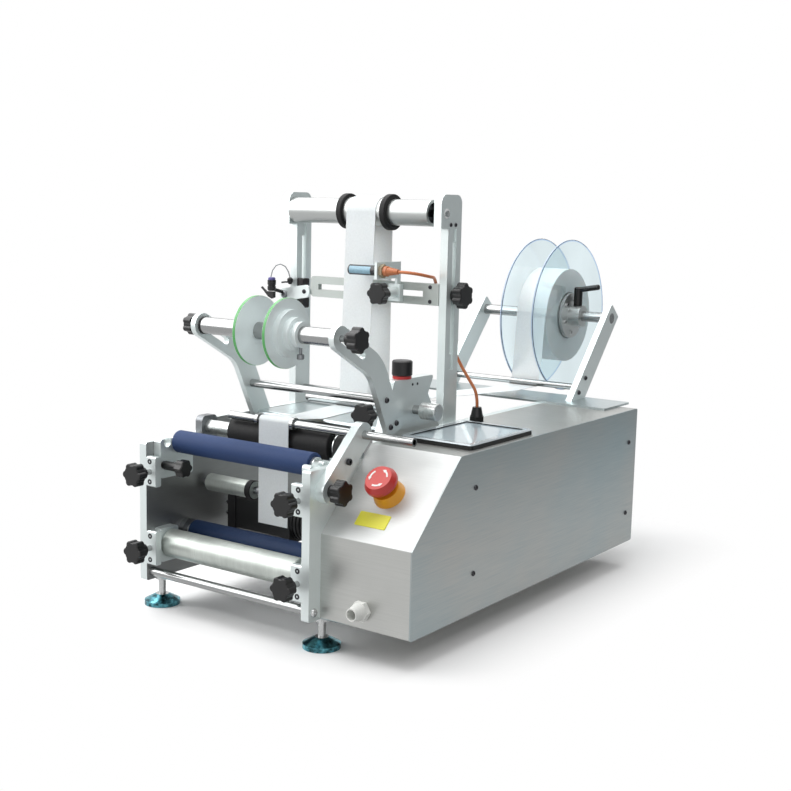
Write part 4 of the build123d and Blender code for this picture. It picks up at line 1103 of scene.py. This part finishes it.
@dataclass
class PlungerCatch:
    """The small catch on the left post, with its plunger, wing lever and loop of wire.

    Paths are in millimetres from the plunger's foot, and profiles from where each piece stands.
    """

    post_face: float = 282.0
    middle: Pair = (-412.3, 370.3)
    tilt: float = 9.7
    plate: Point = (58.0, 19.0, 8.0)
    plate_depth: float = 4.0
    plate_edge: float = 0.7
    screw_reach: float = 19.0
    screw: Fastener = Fastener(3.4, 1.8, 1.5)
    pivot: Fastener = Fastener(5.6, 3.0, 2.2, DARK_STEEL)
    block_spot: Pair = (-411.0, 291.0)
    block: Point = (15.0, 44.0, 2.0)
    block_depth: float = 11.0
    edge: float = 0.8
    foot: Point = (-437.0, 256.0, 373.0)
    barrel: Profile = ((0.0, 0.0), (4.5, 0.0), (6.3, 2.0), (6.3, 6.5), (5.6, 7.0), (5.6, 9.0), (6.3, 9.5),
                       (6.3, 16.0), (0.0, 16.0))
    stem: tuple[Point, ...] = ((4.0, 23.0, -3.0), (2.0, 12.0, 0.0), (0.0, 0.0, 3.0))
    stem_radius: float = 2.6
    collar: Profile = ((0.0, 15.5), (5.4, 15.5), (5.4, 18.5), (4.2, 20.0), (0.0, 20.0))
    wing: Profile = ((5.5, -1.0), (-13.5, -1.0), (-6.0, -8.5), (1.0, -11.5), (5.5, -9.5))
    wing_depth: float = 5.0
    lever: tuple[Point, ...] = ((-10.0, 0.0, -2.0), (-14.5, 0.0, 1.0), (-19.0, 0.0, 4.5))
    lever_radius: float = 1.8
    wire: tuple[Point, ...] = ((-2.0, 0.0, 19.5), (-0.5, 2.0, 30.0), (4.0, 5.0, 37.5), (9.0, 9.0, 39.5),
                               (14.0, 14.0, 36.0), (17.0, 18.0, 28.0), (18.5, 20.0, 19.0))
    wire_radius: float = 0.8
    wire_segments: int = 8
    bead_foot: Point = (18.5, 20.0, 10.0)
    bead: Profile = ((0.0, 0.0), (2.2, 0.0), (4.4, 4.0), (4.4, 8.0), (2.0, 10.0), (0.0, 10.0))
    pin: tuple[Point, ...] = ((18.5, 20.0, 13.0), (10.0, 19.0, 13.0), (4.0, 18.0, 12.0))
    pin_radius: float = 1.3

    def near(self, *offsets: Point) -> list[Vector]:
        """Returns points given from the plunger's foot."""
        return [at(*(a + b for a, b in zip(self.foot, offset))) for offset in offsets]

    def build(self) -> None:
        """Makes the plate with its block and screws, then the plunger and the wire."""
        self.build_plate()
        self.build_plunger()
        self.build_wire()

    def build_plate(self) -> None:
        """Makes the plate on the left post, its clamp block and its two screws."""
        x, z = self.middle
        sculptor = Sculptor()
        turn = Matrix.Rotation(math.radians(self.tilt), 4, "Z")
        stand = facing(at(x, self.post_face, z), Side.FRONT) @ turn
        sculptor.prism(rounded(*self.plate), self.plate_depth, stand, self.plate_edge)
        sculptor.fit("catch_plate", ANODISED)
        sculptor = Sculptor()
        stand = facing(at(*self.block_spot, z), Side.RIGHT)
        sculptor.prism(rounded(*self.block), self.block_depth, stand, self.edge)
        sculptor.fit("catch_block", BLACK_PLASTIC)
        rise = math.tan(math.radians(self.tilt)) * self.screw_reach
        face = self.post_face - self.plate_depth
        self.screw.fit("catch_screw", [((x + self.screw_reach, face, z + rise), Side.FRONT)])
        self.pivot.fit("catch_pivot", [((x - self.screw_reach, face, z - rise), Side.FRONT)])

    def build_plunger(self) -> None:
        """Makes the plunger on its stem, its violet collar and its wing lever."""
        stand = facing(at(*self.foot), Side.UP)
        sculptor = Sculptor()
        sculptor.lathe(self.barrel, stand)
        sculptor.tube(self.near(*self.stem), self.stem_radius)
        sculptor.fit("catch_plunger", BLACK_PLASTIC)
        sculptor = Sculptor()
        sculptor.lathe(self.collar, stand)
        sculptor.fit("catch_ring", VIOLET_RING)
        sculptor = Sculptor()
        back = self.near((0.0, self.wing_depth / 2, 0.0))[0]
        sculptor.prism(self.wing, self.wing_depth, facing(back, Side.FRONT), self.edge)
        sculptor.tube(self.near(*self.lever), self.lever_radius)
        sculptor.fit("catch_wing", BLACK_PLASTIC)

    def build_wire(self) -> None:
        """Makes the loop of wire and the small fitting at its end."""
        sculptor = Sculptor()
        sculptor.tube(self.near(*self.wire), self.wire_radius, self.wire_segments)
        sculptor.fit("catch_wire", DARK_STEEL)
        sculptor = Sculptor()
        sculptor.lathe(self.bead, facing(self.near(self.bead_foot)[0], Side.UP))
        sculptor.tube(self.near(*self.pin), self.pin_radius, self.wire_segments)
        sculptor.fit("catch_fitting", BLACK_PLASTIC)


@dataclass
class Mast:
    """The posts, guide roller, crossbar and label sensor."""

    guide: Pair = (277.0, 492.5)
    guide_ends: Pair = (-402.0, -174.0)
    guide_bore: float = 14.2
    guide_screw: Fastener = Fastener(7.0, 2.2, 3.2, BRIGHT_SCREW)
    right_face: float = -146.0
    left_face: float = -423.0
    bracket_screws: tuple[Pair, ...] = ((300.0, 477.5), (288.0, 477.5))
    bracket_screw: Fastener = Fastener(3.0, 1.5, 1.3)
    crossbar_face: float = 281.0
    crossbar_z: float = 382.0
    crossbar_screws: tuple[Pair, ...] = ((-172.5, 392.0), (-172.5, 372.0))
    crossbar_screw: Fastener = Fastener(2.8, 1.6, 1.2)
    post_middle: float = 298.5
    carrier_x: float = -227.0
    stud_radius: float = 4.4
    sensor_black: Colour = (0.012, 0.013, 0.014)
    sensor_bands: tuple[tuple[float, Colour], ...] = ((-222.0, BRASS), (-216.5, ORANGE))
    sensor_label_x: Pair = (-273.0, -237.0)
    sensor_label_z: Pair = (408.2, 418.2)
    sensor_label: Colour = (0.30, 0.50, 0.62)
    cable: SensorCable = field(default_factory=SensorCable)
    catch: PlungerCatch = field(default_factory=PlungerCatch)

    def dress(self) -> None:
        """Gives the mast's nodes their finishes."""
        coat(ANODISED, "mast_posts", "mast_top_brackets", "sensor_carrier")
        coat(CROSSBAR, "sensor_crossbar")
        coat(CHROME, "fixed_shafts")
        coat(GUIDE_TUBE, "guide_roller_tube")
        bore = along_x(self.guide, self.guide_bore)
        left, right = self.guide_ends
        coat_faces("guide_roller_tube", SCREW_STEEL,
                   lambda spot, normal: bore(spot, normal) and not left < spot.x < right)
        coat(BLACK_RUBBER, "guide_collars")
        coat(BLACK_PLASTIC, "crossbar_knob", "sensor_knob")
        coat_faces("crossbar_knob", CHROME, along_x((self.post_middle, self.crossbar_z), self.stud_radius))
        coat_faces("sensor_knob", CHROME, along_y((self.carrier_x, self.crossbar_z), self.stud_radius))
        coat(self.sensor_finish(), "label_sensor")

    def sensor_finish(self) -> Banded:
        """Draws up the sensor's finish.

        Returns:
            Black with a bare blue label, a brass nut and an orange cable end.
        """
        return Banded(
            "sensor_tube", self.sensor_black, 0.35, 0.0, even(700.0), 10.0, 0.1,
            bands=tuple((at(x, 0.0, 0.0).x, colour) for x, colour in self.sensor_bands),
            label=tuple(at(x, 0.0, 0.0).x for x in self.sensor_label_x),
            label_height=tuple(at(0.0, 0.0, z).z for z in self.sensor_label_z),
            label_colour=self.sensor_label,
        )

    def build(self) -> None:
        """Makes the cable, the screws and the plunger catch on the left post."""
        self.cable.build()
        spots = [((x, self.crossbar_face, z), Side.FRONT) for x, z in self.crossbar_screws]
        self.crossbar_screw.fit("crossbar_screws", spots, "crossbar")
        faces = (self.right_face, self.left_face)
        self.bracket_screw.fit("bracket_screws", both_sides(*faces, self.bracket_screws))
        self.guide_screw.fit("guide_shaft_screws", both_sides(*faces, [self.guide]))
        self.catch.build()


@dataclass
class Rewinder:
    """The backing paper rewinder."""

    axis: Pair = (24.0, 343.0)
    rod_radius: float = 4.3
    disc_faces: tuple[Pair, ...] = ((-262.0, -257.0), (-214.0, -209.0))
    disc_radius: float = 43.5
    rim_edge: float = 0.5
    rim_half: float = 0.35
    rim_segments: int = 72
    right_face: float = -126.0
    left_face: float = -360.0
    foot_screws: tuple[Pair, ...] = ((129.0, 222.0), (141.5, 226.0), (119.0, 258.0))
    foot_screw: Fastener = Fastener(3.8, 2.6, 1.7)
    thumb_foot: Point = (-189.0, 24.0, 328.0)
    thumb: Profile = ((0.0, 0.0), (2.0, 0.0), (2.0, 9.0), (4.2, 9.3), (4.6, 10.0), (4.6, 14.5), (4.0, 15.3),
                      (0.0, 15.3))
    thumb_segments: int = 24
    tube_left: float = -351.0
    end_ring: Profile = ((10.9, 0.0), (11.5, 0.4), (11.5, 3.6), (10.9, 4.0))

    def dress(self) -> None:
        """Gives the rewinder's nodes their finishes."""
        coat(ANODISED, "rewind_arms")
        coat(CHROME, "rewind_tube")
        coat(DISC_GREY, "rewind_discs")
        coat(BLACK_PLASTIC, "rewind_clamp")
        coat_faces("rewind_clamp", CHROME, along_x(self.axis, self.rod_radius))

    def build(self) -> None:
        """Makes the green rims, the arms' screws, the thumbscrew and the tube's end ring."""
        sculptor = Sculptor()
        inner, outer = self.disc_radius - self.rim_half, self.disc_radius + self.rim_half
        for start, end in self.disc_faces:
            low, high = self.rim_edge, end - start - self.rim_edge
            section = ((inner, low), (outer, low), (outer, high), (inner, high))
            sculptor.ring(section, facing(at(start, *self.axis), Side.RIGHT), self.rim_segments)
        sculptor.fit("rewind_rims", GREEN_RIM, "rewind_reel")
        spots = both_sides(self.right_face, self.left_face, self.foot_screws)
        self.foot_screw.fit("rewind_arm_screws", spots)
        sculptor = Sculptor()
        sculptor.lathe(self.thumb, facing(at(*self.thumb_foot), Side.DOWN), self.thumb_segments)
        sculptor.fit("rewind_thumbscrew", DARK_STEEL, "rewind_reel")
        sculptor = Sculptor()
        sculptor.ring(self.end_ring, facing(at(self.tube_left, *self.axis), Side.RIGHT))
        sculptor.fit("rewind_end_ring", BLACK_RUBBER, "rewind_reel")


@dataclass
class SupplyReel:
    """The supply reel with its arms, discs and label roll."""

    axis: Pair = (705.0, 329.0)
    disc_radius: float = 124.0
    disc_colour: Colour = (0.74, 0.84, 0.87)
    disc_roughness: float = 0.03
    disc_relief: float = 10.0
    rim_colour: Colour = (0.34, 0.53, 0.84)
    flange_face: float = -172.0
    bolt_circle: float = 27.5
    bolt_start: float = 20.0
    bolt: Fastener = Fastener(3.8, 2.8, 1.7, BRIGHT_SCREW, Head.SOCKET)
    bolts: int = 6
    right_face: float = -100.0
    left_face: float = -347.0
    foot_screws: tuple[Pair, ...] = ((599.0, 219.0), (620.0, 240.0))
    foot_screw: Fastener = Fastener(3.8, 2.6, 1.7)

    def dress(self) -> None:
        """Gives the reel's nodes their finishes."""
        coat(ANODISED, "reel_arms")
        coat(PLATFORM_STEEL, "reel_base_plate")
        clear = ClearPlastic(
            "clear_disc_sheet", self.disc_colour, self.disc_roughness, depth=self.disc_relief,
            center=tuple(at(0.0, *self.axis)), rim_radius=self.disc_radius * MM, rim_colour=self.rim_colour,
        )
        coat(clear, "reel_discs")
        coat_faces("reel_discs", DISC_EDGE, lambda spot, normal: abs(normal.x) < PARTLY)
        coat(HUB_GREY, "reel_hub")
        coat(BLACK_PLASTIC, "reel_clamp_lever")
        coat(ROLL_PAPER, "label_roll")
        # Painted light: the roll's side faces are warm, and lighter than their own tone.
        coat_faces("label_roll", LIT_ROLL_SIDE, lambda spot, normal: abs(normal.x) > SQUARELY)
        coat(STRIP_PAPER, "label_web")

    def build(self) -> None:
        """Makes the flange's bolts and the arms' screws."""
        y, z = self.axis
        spots = []
        for turn in turns(self.bolts):
            turn += math.radians(self.bolt_start)
            bolt_y, bolt_z = y + self.bolt_circle * math.cos(turn), z + self.bolt_circle * math.sin(turn)
            spots.append(((self.flange_face, bolt_y, bolt_z), Side.RIGHT))
        self.bolt.fit("flange_bolts", spots, "supply_reel")
        self.foot_screw.fit("reel_arm_screws", both_sides(self.right_face, self.left_face, self.foot_screws))


@dataclass
class PeelStation:
    """The peel arm and bar with the knobs and the turned stop on the right plate."""

    knob: Pair = (3.0, 161.0)
    brake: Pair = (-140.0, 240.0)
    stud_radius: float = 4.3
    tension_ring: Pair = (279.0, 283.4)
    arm_face: float = -122.0
    arm_screws: tuple[Pair, ...] = ((36.0, 192.0),)
    arm_screw: Fastener = Fastener(4.2, 3.6, 2.0, head=Head.SOCKET)
    plate_face: float = -134.0
    plate_screws: tuple[Pair, ...] = ((188.2, 270.5), (199.4, 270.4))
    plate_screw: Fastener = Fastener(1.9, 0.6, 0.9)
    stop: Pair = (194.0, 236.5)
    stop_stub: Profile = ((0.0, -0.2), (6.0, -0.2), (6.0, 14.0), (0.0, 14.0))
    stop_cap: Profile = ((0.0, 13.0), (10.6, 13.0), (11.4, 13.8), (11.4, 37.2), (10.6, 38.0), (0.0, 38.0))
    stop_segments: int = 40

    def dress(self) -> None:
        """Gives the peel arm, bar and knobs their finishes."""
        coat(ANODISED, "peel_arm")
        coat(CHROME, "peel_bar")
        coat(BLACK_PLASTIC, "peel_knob", "brake_knob", "tension_knob")
        coat_faces("peel_knob", CHROME, along_x(self.knob, self.stud_radius))
        coat_faces("brake_knob", CHROME, along_y(self.brake, self.stud_radius))
        low, high = self.tension_ring
        coat_faces("tension_knob", RED_RING, lambda spot, normal: low < spot.z < high)

    def build(self) -> None:
        """Makes the screw that closes the peel arm, the plate's small screws and the turned stop."""
        self.arm_screw.fit("peel_arm_screw", on_face(self.arm_face, Side.RIGHT, self.arm_screws))
        self.plate_screw.fit("raised_plate_screws", on_face(self.plate_face, Side.RIGHT, self.plate_screws))
        stand = facing(at(self.plate_face, *self.stop), Side.RIGHT)
        for name, profile, look in (("stop_stub", self.stop_stub, CHROME),
                                    ("turned_stop", self.stop_cap, TURNED_ALUMINIUM)):
            sculptor = Sculptor()
            sculptor.lathe(profile, stand, self.stop_segments)
            sculptor.fit(name, look)


@dataclass(frozen=True)
class Lamp:
    """A soft square lamp, in metres and watts."""

    name: str
    spot: Point
    size: float
    watts: float

    def build(self, target: Point) -> None:
        """Adds the lamp to the scene.

        Args:
            target: The point that it looks at.
        """
        data = bpy.data.lights.new(self.name, "AREA")
        data.size = self.size
        data.energy = self.watts
        lamp = bpy.data.objects.new(self.name, data)
        way = Vector(target) - Vector(self.spot)
        lamp.location = self.spot
        lamp.rotation_mode = "QUATERNION"
        lamp.rotation_quaternion = way.to_track_quat("-Z", "Y")
        bpy.context.scene.collection.objects.link(lamp)


WHITE = (1.0, 1.0, 1.0, 1.0)


@dataclass
class Studio:
    """The camera, lamps, floor and world, in metres apart from the camera's drawing millimetres."""

    camera_spot: Point = (790.2, -1163.7, 501.3)
    right: Point = (0.81562, 0.57814, 0.02300)
    down: Point = (0.10451, -0.10810, -0.98863)
    forward: Point = (-0.56908, 0.80875, -0.14859)
    lens: float = 57.42
    sensor: float = 36.0
    clip: Pair = (0.05, 50.0)
    middle: Point = (0.0, 0.0, 0.2)
    lamps: tuple[Lamp, ...] = (
        Lamp("overhead", (-0.5, -0.1, 2.3), 3.0, 80.0),
        Lamp("key", (-1.9, -1.6, 1.4), 1.8, 42.0),
        Lamp("fill", (1.6, -2.2, 1.0), 1.6, 7.0),
    )
    card_x: float = 0.8
    card_y: Pair = (-0.3, 2.2)
    card_z: Pair = (0.002, 0.8)
    card_grey: Colour = (0.26, 0.28, 0.29)
    floor_half: float = 3.0
    floor_level: float = -0.0002
    floor_colour: Colour = (0.93, 0.93, 0.93)
    floor_bounce: Colour = (0.4, 0.4, 0.4)
    floor_roughness: float = 0.7
    machine_half: Pair = (0.18, 0.37)
    floor_fade: Pair = (0.0, 0.15)
    room_light: float = 0.22

    def build(self) -> None:
        """Sets up the picture's view and light."""
        self.camera()
        for lamp in self.lamps:
            lamp.build(self.middle)
        self.card()
        self.floor()
        self.world()
        bpy.context.scene.view_settings.view_transform = "Standard"

    def camera(self) -> None:
        """Places the camera as the photograph's was."""
        data = bpy.data.cameras.new("view")
        data.lens = self.lens
        data.sensor_width = self.sensor
        data.clip_start, data.clip_end = self.clip
        camera = bpy.data.objects.new("view", data)
        turn = Matrix((Vector(self.right), -Vector(self.down), -Vector(self.forward))).transposed()
        camera.matrix_world = Matrix.Translation(at(*self.camera_spot)) @ turn.to_4x4()
        bpy.context.scene.collection.objects.link(camera)
        bpy.context.scene.camera = camera

    def sheet(self, name: str, corners: Sequence[Point], graph: Graph) -> bpy.types.Object:
        """Makes a flat stage piece of one face.

        Args:
            name: The piece's name.
            corners: Its corners in metres.
            graph: Its material's node tree.

        Returns:
            The piece.
        """
        sculptor = Sculptor()
        sculptor.mesh.faces.new([sculptor.mesh.verts.new(corner) for corner in corners])
        piece = sculptor.finish(name, graph.material)
        return piece

    def card(self) -> None:
        """Stands a grey card on the right, which only reflections see, as metal is photographed."""
        graph = Graph("grey_card")
        glow = graph.add("ShaderNodeEmission", Color=(*self.card_grey, 1.0), Strength=1.0)
        graph.show(glow.outputs[0])
        x, (near, far), (low, top) = self.card_x, self.card_y, self.card_z
        card = self.sheet("grey_card", ((x, near, low), (x, far, low), (x, far, top), (x, near, top)), graph)
        card.visible_camera = False
        card.visible_diffuse = False
        card.visible_transmission = False
        card.visible_shadow = False

    def floor(self) -> None:
        """Lays the pale floor, which keeps the shadow near the machine and is white beyond it."""
        graph = Graph("pale_floor")
        seen = graph.seen()
        tone = graph.blend(seen, self.floor_bounce, self.floor_colour)
        graph.set(Base_Color=tone, Roughness=self.floor_roughness)
        squares = []
        for letter, reach in zip("XY", self.machine_half):
            beyond = graph.math("SUBTRACT", graph.math("ABSOLUTE", graph.axis(letter)), reach)
            beyond = graph.math("MAXIMUM", beyond, 0.0)
            squares.append(graph.math("MULTIPLY", beyond, beyond))
        distance = graph.math("SQRT", graph.math("ADD", *squares))
        away = graph.span(distance, self.floor_fade)
        glow = graph.add("ShaderNodeEmission", Color=WHITE, Strength=1.0)
        graph.show(graph.mix(graph.math("MULTIPLY", away, seen), graph.shader.outputs[0], glow.outputs[0]))
        half = self.floor_half
        corners = ((-half, -half), (half, -half), (half, half), (-half, half))
        self.sheet("floor", [(*corner, self.floor_level) for corner in corners], graph)

    def world(self) -> None:
        """Lights the scene softly and shows a white background."""
        world = bpy.data.worlds.new("studio")
        world.use_nodes = True
        bpy.context.scene.world = world
        nodes = Nodes(world.node_tree)
        soft = nodes.tree.nodes["Background"]
        nodes.feed(soft.inputs["Color"], WHITE)
        nodes.feed(soft.inputs["Strength"], self.room_light)
        bright = nodes.add("ShaderNodeBackground", Color=WHITE, Strength=1.0)
        mixed = nodes.mix(nodes.seen(), soft.outputs[0], bright.outputs[0])
        nodes.feed(nodes.tree.nodes["World Output"].inputs[0], mixed)


def main() -> None:
    """Builds and dresses every sub-assembly."""
    logging.basicConfig(level=logging.INFO, format="%(message)s")
    Studio().build()
    for kind in (Mast, SideFrame, ControlBox, RollerSet, Adjusters, Rewinder, SupplyReel, PeelStation):
        assembly = kind()
        assembly.dress()
        assembly.build()


if __name__ == "__main__":
    main()
